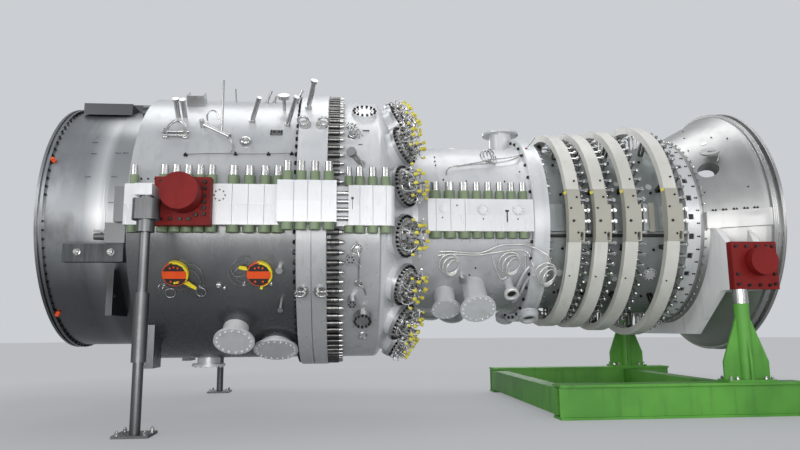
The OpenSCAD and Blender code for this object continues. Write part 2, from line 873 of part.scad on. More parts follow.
rim_x = x_end - 230;
rim_inner = rim_radius - 115;
rim_thickness = 60;
bell_foot = 260;

function bell_profile() = [
    [inlet_radius, x_bell],
    [strut_radius, x_bell],
    [strut_radius, x_bell + 60],
    [strut_radius - 30 + bell_wall, x_bell + 60],
    [rim_radius - 130, rim_x - 90],
    [rim_radius - 60, rim_x - 20],
    [rim_radius - 60, rim_x],
    [rim_radius - 10, rim_x],
    [rim_radius - 10, rim_x + 90],
    [rim_radius - 70, rim_x + 90],
    [rim_radius - 70, x_end - rim_thickness],
    [rim_radius, x_end - rim_thickness],
    [rim_radius, x_end],
    [rim_inner, x_end],
    [rim_inner - 60, rim_x],
    [rim_inner - 130, rim_x - 90],
    [inlet_radius + 60, x_bell + 180],
    [inlet_radius, x_bell + 40]];

bell_joint_height = 75;
bell_beam_height = 230;
manhole_d = 330;
manhole_x = x_bell + 275;
manhole_angle = 27.5;
rim_bolt_circle = rim_radius - 34;

// Radius of the outside of the bell at a station
function bell_radius(x) = strut_radius + (rim_radius - 130 - strut_radius) * (x - x_bell - 60) / (rim_x - x_bell - 150);

module bell_half(side) {
    height = side > 0 ? bell_joint_height : bell_beam_height;
    low = side > 0 ? 0 : -height;
    difference() {
        union() {
            turned_half(bell_profile(), side);
            difference() {
                intersection() {
                    on_axis() translate([x_bell + 60, -rim_radius, low])
                        cube([rim_x - x_bell - 60, 2 * rim_radius, height]);
                    turned([[0, x_bell], [strut_radius + 110, x_bell + 60],
                        [rim_radius - 20, rim_x - 60], [rim_radius - 20, rim_x], [0, rim_x]]);
                }
                turned([[0, x_bell - 1], [inlet_radius + 20, x_bell], [inlet_radius + 20, x_bell + 40],
                    [inlet_radius + 80, x_bell + 180],
                    [rim_inner - 110, rim_x - 90], [rim_inner - 40, rim_x + 1], [0, rim_x + 1]]);
            }
        }
        for (k = [0:rim_bolts - 1])
            on_axis() rotate([360 * (k + 0.5) / rim_bolts, 0, 0])
                translate([x_end, 0, rim_bolt_circle]) rotate([0, 90, 0])
                    cylinder(d = flange_bore, h = 2 * rim_thickness + 10, center = true, $fn = small);
        if (side > 0)
            on_axis() radial_at(manhole_angle) translate([manhole_x, 0, strut_radius - 200])
                cylinder(d = manhole_d, h = 900, $fn = medium);
    }
}

module inlet_bell_upper() {
    color("lightgray") bell_half(1);
}

module inlet_bell_lower() {
    color("gray") bell_half(-1);
}

// The hub narrows to the shaft coupling, which lies inside the bell mouth
hub_end = x_end - 420;

module inlet_hub() {
    r = inlet_hub_radius;
    color("gray") difference() {
        turned([[0, x_strut - blade_pocket + seat], [r, x_strut - blade_pocket + seat],
            [r, x_bell + 200], [r - 60, x_bell + 420], [r - 200, hub_end - 60], [r - 220, hub_end],
            [coupling_radius, hub_end], [coupling_radius, hub_end + 90],
            [coupling_radius - 110, hub_end + 90], [coupling_radius - 110, hub_end + 60],
            [0, hub_end + 60]]);
        for (k = [0:coupling_bolts - 1])
            on_axis() rotate([360 * (k + 0.5) / coupling_bolts, 0, 0])
                translate([hub_end + 90, 0, coupling_radius - 55]) rotate([0, 90, 0])
                    cylinder(d = 52, h = 160, center = true, $fn = small);
    }
}

module inlet_struts() {
    chord = 300;
    x = x_bell + 60;
    color("lightgray") difference() {
        intersection() {
            blade_row(inlet_strut_count, x + chord / 2 - 40, inlet_hub_radius - 60, inlet_radius + 300,
                chord, 90, 0, 0);
            turned([[0, x - 100], [inlet_radius, x - 100], [inlet_radius, x_bell + 40],
                [inlet_radius + 60, x_bell + 180], [rim_inner - 130, rim_x - 90], [0, rim_x - 90]]);
        }
        turned([[0, x - 101], [inlet_hub_radius, x - 101], [inlet_hub_radius, x_bell + 200],
            [inlet_hub_radius - 60, x_bell + 420], [0, x_bell + 420]]);
    }
}

// Guide vanes stand between the hub and the strut casing
module inlet_guide_vanes() {
    vane_chord = 150;
    x = x_strut + 90;
    color("silver") difference() {
        intersection() {
            blade_row(guide_vane_count, x, inlet_hub_radius - 40, inlet_radius + 60, vane_chord, 20, 8, 12);
            turned(tube_profile(x - vane_chord, x + vane_chord, inlet_radius));
        }
        turned(tube_profile(x - vane_chord - 1, x + vane_chord + 1, inlet_hub_radius));
    }
}

// Red lifting blocks with round trunnions, bolted to the joint flange
block_x = x_turbine + 530;
block_low = -370;
block_high = 390;
block_depth = 200;
trunnion_x = x_turbine + 990;
trunnion_z = 95;
trunnion_reach = 400;

module lifting_trunnions() {
    color("firebrick") both_sides() {
        block([block_x, -joint_face - seat - block_depth, block_low],
            [block_x + block_width, -joint_face - seat, block_high]);
        side_pin(trunnion_x, trunnion_z, trunnion_d, joint_face + block_depth,
            joint_face + block_depth + trunnion_reach);
    }
}

// Inlet supports: a white cradle round the lower half carries a red block on each side
inlet_block_x = x_bell + 140;
inlet_block_low = -1360;
inlet_block_face = 2480;
inlet_block_depth = 150;
inlet_block_high = inlet_block_low + inlet_block;
inlet_trunnion_reach = 200;
cradle_plate = 110;
cradle_depth = 2120;
// Distances of the cradle's corners from the middle plane
cradle_inner = 1750;
cradle_outer = 2020;
cradle_knee = 2050;
cradle_sole = 1080;
gusset_inner = 1500;
inner_gusset_x = inlet_block_x + 520;

module inlet_trunnions() {
    color("firebrick") both_sides() {
        block([inlet_block_x, -inlet_block_face, inlet_block_low],
            [inlet_block_x + inlet_block_width, inlet_block_depth - inlet_block_face, inlet_block_high]);
        side_pin(inlet_block_x + inlet_block_width * 0.57, inlet_block_low + inlet_block * 0.58,
            inlet_trunnion_d, inlet_block_face, inlet_block_face + inlet_trunnion_reach);
    }
}

// A plate square to the shaft, drawn in [distance from the middle plane, height]
module cross_plate(x, thickness, outline) {
    on_axis() translate([x, 0, 0]) rotate([90, 0, 90]) linear_extrude(thickness) polygon(outline);
}

// The room that the bell takes, with a little clearance
module bell_room() {
    turned([[0, x_strut], [strut_radius + seat, x_strut], [strut_radius + seat, x_bell + 60],
        [bell_radius(x_bell + 60) + 22, x_bell + 60], [bell_radius(rim_x - 90) + 22, rim_x - 90],
        [rim_radius - 60 + seat, rim_x - 20], [rim_radius - 60 + seat, rim_x], [0, rim_x]]);
}

module inlet_cradle() {
    top = -bell_beam_height - seat;
    back = inlet_block_face - inlet_block_depth;
    low = inlet_block_low;
    color("white") difference() {
        union() {
            cross_plate(inlet_block_x, cradle_plate, [
                [-cradle_inner, top], [-cradle_outer, top], [-back + seat, inlet_block_high], [-back + seat, low],
                [-cradle_knee, low], [-cradle_sole, -cradle_depth], [cradle_sole, -cradle_depth], [cradle_knee, low],
                [back - seat, low], [back - seat, inlet_block_high], [cradle_outer, top], [cradle_inner, top]]);
            both_sides() cross_plate(inner_gusset_x, cradle_plate, [
                [-cradle_outer + 60, top], [-cradle_outer - 120, top], [-back + seat, inlet_block_high],
                [-back + seat, low], [-cradle_knee, low], [-gusset_inner, low]]);
            both_sides() block([inlet_block_x, -back + seat, low],
                [inner_gusset_x + cradle_plate, -gusset_inner, low + 60]);
        }
        bell_room();
    }
}

// Steel posts stand in green pedestals on the base frame
post_x = inlet_block_x + 130;
post_y = inlet_block_face - inlet_block_depth / 2;
post_top = inlet_block_low - seat;
pedestal_top = -1600;
beam_top = beam_height;

module jack_posts() {
    color("silver") both_sides() on_axis() translate([post_x, -post_y, pedestal_top + seat])
        cylinder(d = post_d, h = post_top - pedestal_top - seat, $fn = medium);
}

// A gusset on both sides of a pedestal, with a straight foot and slanted shoulders
module pedestal_gusset(reach, height) {
    plate = 40;
    foot_height = 330;
    neck = post_d / 2 - 35;
    rotate([90, 0, 0]) translate([0, 0, -plate / 2]) linear_extrude(plate)
        polygon([[-reach, 0], [reach, 0], [reach, foot_height], [neck, height],
            [-neck, height], [-reach, foot_height]]);
}

module pedestals() {
    foot = beam_top + seat - axis_height;
    height = pedestal_top - foot;
    sole = 40;
    color("green") both_sides() on_axis() translate([post_x, -post_y, foot]) {
        cylinder(d = post_d - 10, h = height, $fn = medium);
        translate([-beam_width, -beam_width * 0.43, 0]) cube([2 * beam_width, beam_width * 0.86, sole]);
        pedestal_gusset(beam_width - 20, height - 150);
        rotate([0, 0, 90]) pedestal_gusset(beam_width * 0.4, height - 400);
    }
}

// Base frame: a box beam along each side, joined by cross beams
beam_end = x_end - 20;
beam_start = beam_end - beam_length;
cross_beam_width = 300;
cross_beam_drop = 60;

module base_beam(x1, x2, y) {
    flange = 40;
    web = 30;
    translate([x1, y - beam_width / 2, 0]) cube([x2 - x1, beam_width, flange]);
    translate([x1, y - beam_width / 2, beam_height - flange]) cube([x2 - x1, beam_width, flange]);
    for (side = [-1, 1])
        translate([x1, y + side * beam_width * 0.32 - web / 2, 0]) cube([x2 - x1, web, beam_height]);
}

module base_frame() {
    color("green") {
        for (side = [-1, 1])
            base_beam(beam_start, beam_end, side * post_y);
        for (x = [beam_start + cross_beam_width / 2, post_x])
            translate([x - cross_beam_width / 2, -post_y, cross_beam_drop])
                cube([cross_beam_width, 2 * post_y, beam_height - 2 * cross_beam_drop]);
    }
}

// Exhaust columns hang from arms of the joint flange and stand on the floor
column_x = x_turbine + 545;
column_offset = joint_face + column_reach;
arm_start = column_x - 150;
arm_low = -5;
arm_high = 170;
arm_edge = 100;
// The arm stays clear of the red lifting block
arm_clearance = 10;
neck_d = 200;
nut_high = -55;
nut_low = -365;
collar_d = 260;
collar_low = -545;
sleeve_high = -1435;
sleeve_low = -2430;
column_foot = 500;
column_foot_height = 40;

module column_arms() {
    step = joint_face + block_depth + arm_clearance;
    color("lightgray") both_sides() {
        block([arm_start, -column_offset - 1.2 * arm_edge, arm_low], [column_x + arm_edge, -step, arm_high]);
        block([arm_start, -step, arm_low], [block_x - arm_clearance, -joint_face - seat, arm_high]);
    }
}

module exhaust_columns() {
    color("silver") both_sides() on_axis() translate([column_x, -column_offset, 0]) {
        translate([0, 0, nut_high]) cylinder(d = neck_d, h = arm_low - seat - nut_high, $fn = medium);
        intersection() {
            translate([0, 0, nut_low]) cylinder(d = column_nut_d, h = nut_high - nut_low, $fn = medium);
            translate([-column_nut_d / 2, -column_nut_d * 0.4, nut_low])
                cube([column_nut_d, column_nut_d * 0.8, nut_high - nut_low]);
        }
        translate([0, 0, collar_low]) cylinder(d = collar_d, h = nut_low - collar_low, $fn = medium);
        translate([0, 0, column_foot_height - axis_height])
            cylinder(d = column_d, h = axis_height + collar_low - column_foot_height, $fn = medium);
        translate([0, 0, sleeve_low]) cylinder(d = column_sleeve_d, h = sleeve_high - sleeve_low, $fn = medium);
        translate([-column_foot / 2, -column_foot / 2, -axis_height])
            cube([column_foot, column_foot, column_foot_height]);
    }
}

// Flanged nozzles of the casings

// A nozzle stands out of a casing of a given radius
module nozzle(x, angle, casing, neck_d, flange_d, reach) {
    on_axis() radial_at(angle) translate([x, 0, 0]) {
        translate([0, 0, casing - 60]) cylinder(d = neck_d, h = reach + 60, $fn = medium);
        translate([0, 0, casing + reach - 45]) cylinder(d = flange_d, h = 45, $fn = medium);
    }
}

top_nozzle_reach = 400;
// The lowest nozzle of the turbine casing
drain_x = x_turbine + 900;

module casing_nozzles() {
    color("whitesmoke") {
        difference() {
            union() {
                both_sides() nozzle(x_turbine + 1640, -51, turbine_radius, 430, 680, 310);
                both_sides() nozzle(x_band - 405, -63, turbine_radius, 560, 780, 130);
                nozzle(drain_x, -90, turbine_radius, 420, 620, 160);
            }
            turned(tube_profile(x_turbine, x_band, turbine_radius));
        }
        difference() {
            union() {
                nozzle(x_end_flange - 110, 90, compressor_radius, 460, 750, top_nozzle_reach);
                both_sides() nozzle(x_compressor + 1165, -47, compressor_radius, 430, 640, 610);
                both_sides() nozzle(x_compressor + 640, -54, compressor_radius, 400, 540, 390);
                both_sides() nozzle(x_compressor + 1810, -44, compressor_radius, 150, 215, 290);
            }
            turned(compressor_profile);
            turned(tube_profile(x_end_flange, x_vane, end_flange_radius));
        }
        // A blanked stub on the end flange
        difference() {
            both_sides() nozzle(x_end_flange + 90, -62, end_flange_radius, 120, 400, 120);
            turned(tube_profile(x_end_flange, x_vane, end_flange_radius));
        }
    }
}

// Bolted round covers on the casings
module cover(x, angle, casing, d, h) {
    on_axis() radial_at(angle) translate([x, 0, casing - 40]) cylinder(d = d, h = h + 40, $fn = medium);
}

access_cover_stations = [x_turbine + 760, x_turbine + 2100];
access_cover_d = 400;

module access_covers() {
    color("orange") difference() {
        both_sides() for (x = access_cover_stations)
            cover(x, -25, turbine_radius, access_cover_d, 90);
        turned(tube_profile(x_turbine, x_band, turbine_radius));
    }
}

// White manhole covers on the combustor casing
module manhole_covers() {
    color("whitesmoke") difference() {
        both_sides() cover(x_combustor + 640, 48, turbine_radius, 460, 70);
        turned(tube_profile(x_combustor, x_shoulder, turbine_radius));
    }
}

// Lifting eyes, rods and pipe stubs on the casings

// A round rod that stands out of a casing, with an optional head. One that leans towards
// the inlet stands in a boss.
module rod(x, angle, casing, d, height, head = 0, lean = 0) {
    on_axis() radial_at(angle) translate([x, 0, casing + seat]) {
        if (lean != 0)
            cylinder(d = 1.4 * d, h = 0.7 * d, $fn = small);
        translate([0, 0, lean == 0 ? 0 : 0.35 * d]) rotate([0, lean, 0]) {
            cylinder(d = d, h = height, $fn = small);
            if (head > 0)
                translate([0, 0, height - head / 3]) cylinder(d = head, h = head / 3, $fn = small);
        }
    }
}

// A thin rod that stands upright on the round casing
module upright_rod(x, angle, casing, d, height) {
    sunk = 60;
    difference() {
        on_axis() translate([x, -casing * cos(angle), casing * sin(angle) - sunk])
            cylinder(d = d, h = height + sunk, $fn = small);
        turned(tube_profile(x - d, x + d, casing + seat));
    }
}

// A ring through a threaded boss
module lifting_eye(x, angle, casing, eye, bar, lean) {
    boss = 40;
    on_axis() radial_at(angle) translate([x, 0, casing + seat]) {
        cylinder(d = 1.7 * eye, h = boss, $fn = small);
        translate([0, 0, boss]) rotate([0, lean, 0]) translate([0, 0, eye / 2 + bar * 0.4])
            rotate([90, 0, 0]) rotate_extrude($fn = 48)
                translate([eye / 2 + bar / 2, 0]) circle(d = bar, $fn = small);
    }
}

module turbine_top_fittings() {
    r = turbine_radius;
    x = x_turbine;
    rod(x + 580, 43, r, 84, 350, 106);
    rod(x + 695, 43, r, 84, 340, 106);
    upright_rod(x + 1380, 34, r, 36, 900);
    rod(x + 1460, 62, r, 24, 260);
    rod(x + 1864, 40, r, 80, 490, 0, 19);
    rod(x + 2020, 63, r, 46, 230, 0, 24);
    rod(x + 2150, 64, r, 46, 120, 0, 22);
    rod(x + 2384, 51, r, 60, 290, 200);
    rod(x + 2481, 38, r, 76, 590, 104, 18);
    rod(x + 2560, 66, r, 50, 250, 74, 28);
    // Shackle bar between two lugs
    on_axis() radial_at(31) translate([x + 440, 0, r + seat]) {
        translate([0, -40, 0]) cube([60, 80, 110]);
        translate([330, -40, 0]) cube([60, 80, 110]);
        translate([-30, 0, 75]) rotate([0, 90, 0]) cylinder(d = 60, h = 450, $fn = small);
    }
    // Bent pipe that runs aslant down the casing
    on_axis() radial_at(36) translate([x + 1047, 0, r + seat]) {
        cylinder(d = 84, h = 150, $fn = small);
        translate([0, 0, 62]) rotate([0, 0, -34]) rotate([0, 90, 0]) {
            cylinder(d = 60, h = 600, $fn = small);
            translate([0, 0, 570]) cylinder(d = 92, h = 30, $fn = small);
        }
    }
    // Open box bracket
    on_axis() radial_at(57) translate([x + 640, -140, r + seat]) difference() {
        cube([300, 280, 190]);
        translate([20, 20, 30]) cube([260, 280, 200]);
    }
}

module casing_fittings() {
    r = turbine_radius;
    color("silver") both_sides() {
        turbine_top_fittings();
        for (way = [-1, 1], angle = [34, -31])
            lifting_eye(x_band + band_length / 2 + way * 140, angle, band_radius, 120, 44, way * 28);
        rod(x_band - 260, -23, r, 110, 170);
        rod(x_band - 260, -38, r, 90, 210);
        rod(x_combustor + 560, 17, r, 100, 450, 170, -23);
        rod(x_combustor + 400, 38, r, 190, 40);
        rod(x_combustor + 390, -19, r, 150, 190);
        rod(x_combustor + 420, -36, r, 150, 190);
        rod(x_combustor + 600, -44, r, 260, 170, 330);
        rod(x_compressor + 930, -40, compressor_radius, 130, 110);
        rod(x_band + 142, 46, band_radius, 84, 520, 124, 13);
    }
}

exhaust_casing();
exhaust_hub();
exhaust_struts();
turbine_blades();
exhaust_brackets();
turbine_casing_upper();
turbine_casing_lower();
middle_flange_upper();
middle_flange_lower();
middle_flange_studs();
combustor_casing_upper();
combustor_casing_lower();
burner_flanges();
burner_stems();
burner_caps();
compressor_casing_upper();
compressor_casing_lower();
compressor_end_flange();
joint_sleeves();
joint_studs();
joint_caps();
vane_casing();
vane_ring_1();
vane_ring_2();
vane_ring_3();
vane_ring_4();
vane_levers_1();
vane_levers_2();
vane_levers_3();
vane_levers_4();
ring_rollers();
strut_casing();
inlet_bell_upper();
inlet_bell_lower();
inlet_hub();
inlet_struts();
inlet_guide_vanes();
lifting_trunnions();
inlet_trunnions();
inlet_cradle();
jack_posts();
pedestals();
base_frame();
column_arms();
exhaust_columns();
casing_nozzles();
access_covers();
manhole_covers();
casing_fittings();
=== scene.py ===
# %% [markdown]
# A heavy-duty gas turbine on its stands, dressed for the camera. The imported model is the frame:
# its casings, flanges, rings and stands are right in shape and size, so they are kept and only
# get their real finishes. This file adds what is too fine for that model, such as bolts, nuts,
# pipes, levers and clips. Everything is in metres, with the shaft line along X, the exhaust at
# -X, the inlet at +X and the floor at z = 0.

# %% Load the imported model
import math
import bmesh
import bpy
from mathutils import Matrix, Vector


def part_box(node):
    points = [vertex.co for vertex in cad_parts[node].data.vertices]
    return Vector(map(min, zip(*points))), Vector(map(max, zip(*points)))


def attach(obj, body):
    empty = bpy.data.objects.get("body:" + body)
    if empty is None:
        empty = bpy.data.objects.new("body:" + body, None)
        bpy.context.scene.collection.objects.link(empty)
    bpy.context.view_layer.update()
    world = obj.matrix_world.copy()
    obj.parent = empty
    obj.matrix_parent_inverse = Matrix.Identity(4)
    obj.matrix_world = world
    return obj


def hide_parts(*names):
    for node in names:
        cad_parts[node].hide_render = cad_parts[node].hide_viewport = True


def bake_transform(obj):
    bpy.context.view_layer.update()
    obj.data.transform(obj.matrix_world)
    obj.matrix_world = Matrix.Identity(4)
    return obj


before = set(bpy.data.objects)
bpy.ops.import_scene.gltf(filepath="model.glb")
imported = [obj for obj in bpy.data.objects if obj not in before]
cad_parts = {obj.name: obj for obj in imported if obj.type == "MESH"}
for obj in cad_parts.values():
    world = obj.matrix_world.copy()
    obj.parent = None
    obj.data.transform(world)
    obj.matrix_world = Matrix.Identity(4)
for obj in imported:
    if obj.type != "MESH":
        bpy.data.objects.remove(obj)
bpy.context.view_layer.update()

# %% [markdown]
# The stations of the machine are read from the boxes of its nodes, so that every bolt sits on
# the flange that carries it. Only the height of the shaft line, a few radii and the faces of the
# joint flanges are written here.

# %% Stations along the shaft and radii of the casings
SHAFT = 3.45


def near_end(node):
    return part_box(node)[0].x


def far_end(node):
    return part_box(node)[1].x


X_START = near_end("exhaust_casing")
X_TURBINE = near_end("turbine_casing_upper")
X_BAND = X_TURBINE + 2.69
X_COMBUSTOR = X_BAND + 0.5
X_SHOULDER = X_COMBUSTOR + 0.91
X_COMPRESSOR = near_end("compressor_casing_upper")
X_END_FLANGE = near_end("compressor_end_flange")
X_VANE = near_end("vane_casing")
X_STRUT = near_end("strut_casing")
X_BELL = near_end("inlet_bell_upper")
X_END = far_end("inlet_bell_upper")
R_EXHAUST, R_TURBINE, R_COMPRESSOR, R_STRUT, R_RIM = 2.23, 2.5, 1.65, 1.83, 2.44
JOINT_FACE, COMPRESSOR_FACE, JOINT_HEIGHT = 2.7, 1.85, 0.33
print("turbine casing from", round(X_TURBINE, 3), "to", round(X_BAND, 3))

# %% [markdown]
# The camera stands where the photographer stood: low, a little left of the middle, looking up
# at about nine degrees. Its place was worked out from the flanges, the joint plane and the
# stands, so it is given as three angles and a point. Depth of field stays off.

# %% Camera
YAW, PITCH, ROLL = math.radians(4.98), math.radians(8.89), math.radians(-0.43)
CAMERA_PLACE = (-1.391, -13.277, 1.467)
FOCAL_LENGTH_PIXELS, PICTURE_WIDTH_PIXELS, SENSOR_WIDTH_MM = 663.6, 800, 36
forward = Vector((math.sin(YAW) * math.cos(PITCH), math.cos(YAW) * math.cos(PITCH), math.sin(PITCH)))
level_right = Vector((math.cos(YAW), -math.sin(YAW), 0))
level_up = level_right.cross(forward)
right = math.cos(ROLL) * level_right + math.sin(ROLL) * level_up
up = math.cos(ROLL) * level_up - math.sin(ROLL) * level_right
camera = bpy.data.objects.new("photo_camera", bpy.data.cameras.new("photo_camera"))
bpy.context.scene.collection.objects.link(camera)
turn = Matrix((right, up, -forward)).transposed().to_4x4()
camera.matrix_world = Matrix.Translation(CAMERA_PLACE) @ turn
camera.data.sensor_width = SENSOR_WIDTH_MM
camera.data.lens = FOCAL_LENGTH_PIXELS / PICTURE_WIDTH_PIXELS * SENSOR_WIDTH_MM
camera.data.clip_end = 300
bpy.context.scene.camera = camera
bpy.context.scene.view_settings.view_transform = "Standard"
print("camera at", tuple(round(c, 3) for c in camera.matrix_world.translation))

# %% [markdown]
# Small helpers to build node trees. A node is added with its settings and the values of its
# inputs, and links are given as (node, output, node, input). The same helpers serve materials
# and Geometry Nodes.

# %% Helpers for node trees


def add(tree, kind, place=(0, 0), values=None, **settings):
    node = tree.nodes.new(kind)
    node.location = place
    for key, value in settings.items():
        setattr(node, key, value)
    for socket, value in (values or {}).items():
        node.inputs[socket].default_value = value
    return node


def join(tree, source, output, target, socket):
    tree.links.new(source.outputs[output], target.inputs[socket])


def wire(tree, *links):
    for link in links:
        join(tree, *link)


def sockets(tree, *rows):
    """The inputs of a Geometry Nodes tree, as (name, kind, default if any), and its output."""
    for name, kind, *default in rows:
        socket = tree.interface.new_socket(name, in_out="INPUT", socket_type="NodeSocket" + kind)
        if default:
            socket.default_value = default[0]
    tree.interface.new_socket("Geometry", in_out="OUTPUT", socket_type="NodeSocketGeometry")


def sum_of(tree, a, b, place=(0, 0), operation="ADD"):
    """A math node with two inputs, each a number or a (node, output) pair."""
    node = add(tree, "ShaderNodeMath", place, operation=operation)
    for i, value in enumerate((a, b)):
        if isinstance(value, tuple):
            join(tree, *value, node, i)
        else:
            node.inputs[i].default_value = value
    return node


def srgb(red, green, blue):
    """A colour read off a screen, 0 to 255, as linear light."""
    def linear(c):
        c /= 255
        return c / 12.92 if c <= 0.04045 else ((c + 0.055) / 1.055) ** 2.4
    return (linear(red), linear(green), linear(blue), 1.0)


def object_of(name, form):
    """Turns a bmesh into a linked object."""
    mesh = bpy.data.meshes.new(name)
    form.to_mesh(mesh)
    form.free()
    made = bpy.data.objects.new(name, mesh)
    bpy.context.scene.collection.objects.link(made)
    return made


# %% [markdown]
# The studio is a pale floor and five large soft lamps: one overhead, a long one in front, one
# from each side of the camera, and one behind the machine for its edges. Large lamps give the
# long soft highlights that painted and bare metal barrels need to look round. The world lights
# the machine evenly, and it shows as a pale backdrop where the camera or a shiny surface sees
# it. To the camera the floor glows a little in its own pale tone, and more so far from the
# machine, so it stays pale everywhere and still takes the machine's shadow.

# %% Studio floor, world and lamps
BACKDROP, WORLD_LIGHT = srgb(203, 206, 210), (0.27, 0.275, 0.285, 1)
FLOOR_GLOW = srgb(188, 190, 193)
GLOW_RADII, GLOW_SHARES = (8, 13), (0.55, 0.96)


def studio_floor():
    form = bmesh.new()
    bmesh.ops.create_circle(form, cap_ends=True, segments=96, radius=90)
    floor = object_of("studio_floor", form)
    material = bpy.data.materials.new("pale_floor")
    material.use_nodes = True
    tree = material.node_tree
    shader, surface = tree.nodes["Principled BSDF"], tree.nodes["Material Output"]
    shader.inputs["Roughness"].default_value = 0.75
    grain = add(tree, "ShaderNodeTexNoise", (-500, 0), {"Scale": 0.6})
    shade = add(tree, "ShaderNodeMix", (-250, 0),
                {"A": srgb(178, 181, 185), "B": srgb(190, 192, 196)}, data_type="RGBA")
    glow = add(tree, "ShaderNodeEmission", (0, -400), {"Color": FLOOR_GLOW})
    path = add(tree, "ShaderNodeLightPath", (-500, 500))
    spot = add(tree, "ShaderNodeTexCoord", (-1000, 300))
    reach = add(tree, "ShaderNodeVectorMath", (-800, 300), operation="LENGTH")
    share = add(tree, "ShaderNodeMapRange", (-500, 300),
                {"From Min": GLOW_RADII[0], "From Max": GLOW_RADII[1],
                 "To Min": GLOW_SHARES[0], "To Max": GLOW_SHARES[1]})
    seen = sum_of(tree, (path, "Is Camera Ray"), (share, "Result"), (-250, 400), "MULTIPLY")
    blend = add(tree, "ShaderNodeMixShader", (300, 200))
    wire(tree, (grain, "Fac", shade, "Factor"), (shade, "Result", shader, "Base Color"),
         (spot, "Object", reach, 0), (reach, "Value", share, "Value"), (seen, 0, blend, "Fac"),
         (shader, "BSDF", blend, 1), (glow, "Emission", blend, 2), (blend, "Shader", surface, "Surface"))
    floor.data.materials.append(material)


def studio_world():
    world = bpy.data.worlds.new("studio")
    bpy.context.scene.world = world
    world.use_nodes = True
    tree = world.node_tree
    background = tree.nodes["Background"]
    background.inputs["Strength"].default_value = 1.0
    path = add(tree, "ShaderNodeLightPath", (-900, 200))
    seen = sum_of(tree, (path, "Is Camera Ray"), (path, "Is Transmission Ray"), (-700, 300), "MAXIMUM")
    sheen = sum_of(tree, (path, "Is Glossy Ray"), 0.75, (-700, 100), "MULTIPLY")
    shown = sum_of(tree, (seen, 0), (sheen, 0), (-500, 200), "MAXIMUM")
    colour = add(tree, "ShaderNodeMix", (-250, 100), {"A": WORLD_LIGHT, "B": BACKDROP}, data_type="RGBA")
    wire(tree, (shown, 0, colour, "Factor"), (colour, "Result", background, "Color"))


def soft_lamp(name, place, aim_x, width, height, power, colour=(1, 1, 1)):
    """A large rectangular lamp that looks at a station of the shaft line."""
    lamp = bpy.data.lights.new(name, "AREA")
    lamp.shape = "RECTANGLE"
    lamp.size, lamp.size_y = width, height
    lamp.energy = power
    lamp.color = colour
    holder = bpy.data.objects.new(name, lamp)
    holder.location = place
    look = Vector((aim_x, 0, SHAFT)) - Vector(place)
    holder.rotation_euler = look.to_track_quat("-Z", "Y").to_euler()
    bpy.context.scene.collection.objects.link(holder)


studio_floor()
studio_world()
soft_lamp("overhead_light", (0, 0.5, 12), 0, 15, 4, 560)
soft_lamp("front_light", (-2, -17, 2.9), 0, 13, 4.5, 1300, (1.0, 0.985, 0.965))
soft_lamp("left_light", (-17, -12, 8), 1, 8, 6, 900, (1.0, 0.99, 0.98))
soft_lamp("right_light", (11, -15, 6), -1, 7, 5, 520, (1.0, 0.99, 0.98))
soft_lamp("back_light", (2, 13, 8), 0, 14, 4, 700)
print("floor, world and five lamps are set")

# %% [markdown]
# Finishes. A real casing is sprayed with paint and then handled: it is a little uneven, streaked
# by hands and oil, and duller where it is dirty. So a painted finish mixes two tones by broad
# noise, darkens in thin streaks, and its gloss follows the same pattern. Everything is read on
# Object coordinates, because all pieces keep their place in their mesh. Colours are given as
# they look on a screen, from 0 to 255.

# %% A finish builder for paint
WHITE_FACE, WHITE_FACE_METAL = (212, 214, 217), 0.12


def start_finish(name):
    material = bpy.data.materials.new(name)
    material.use_nodes = True
    tree = material.node_tree
    place = add(tree, "ShaderNodeTexCoord", (-1500, 0))
    return material, tree, tree.nodes["Principled BSDF"], place


def noise_of(tree, place, scale, stretch, detail, spot):
    """Noise on stretched coordinates, from 0 to 1."""
    mapping = add(tree, "ShaderNodeMapping", (spot[0] - 200, spot[1]), {"Scale": stretch})
    noise = add(tree, "ShaderNodeTexNoise", spot, {"Scale": scale, "Detail": detail})
    wire(tree, (place, "Object", mapping, "Vector"), (mapping, "Vector", noise, "Vector"))
    return noise


def band_of(tree, source, low, high, spot):
    """Maps a noise between low and high to 0 to 1."""
    node = add(tree, "ShaderNodeMapRange", spot, {"From Min": low, "From Max": high})
    join(tree, source, "Fac", node, "Value")
    return (node, "Result")


def spread_of(tree, source, low, high, spot):
    """Maps a value between 0 and 1 to low to high."""
    node = add(tree, "ShaderNodeMapRange", spot, {"To Min": low, "To Max": high})
    join(tree, *source, node, "Value")
    return node


def tone(tree, factor, a, b, spot):
    """Mixes two colours, each a colour or a (node, output) pair, by a (node, output) factor."""
    node = add(tree, "ShaderNodeMix", spot, data_type="RGBA")
    join(tree, *factor, node, "Factor")
    for socket, value in (("A", a), ("B", b)):
        if isinstance(value[0], bpy.types.Node):
            join(tree, *value, node, socket)
        else:
            node.inputs[socket].default_value = value
    return (node, "Result")


def ripple(tree, shader, first, second, strength, distance):
    """Bump from the sum of two noises."""
    total = sum_of(tree, (first, "Fac"), (second, "Fac"), (-300, -500))
    bump = add(tree, "ShaderNodeBump", (-100, -500), {"Strength": strength, "Distance": distance})
    wire(tree, (total, 0, bump, "Height"), (bump, "Normal", shader, "Normal"))


def above(tree, place, axis, level, side=1, soft=0.002, spot=(-900, 800)):
    """1 where a coordinate is above a level (or below it, for side -1), with a change between."""
    split = add(tree, "ShaderNodeSeparateXYZ", (spot[0] - 200, spot[1]))
    node = add(tree, "ShaderNodeMapRange", spot,
               {"From Min": level - side * soft, "From Max": level + side * soft})
    wire(tree, (place, "Object", split, "Vector"), (split, axis, node, "Value"))
    return (node, "Result")


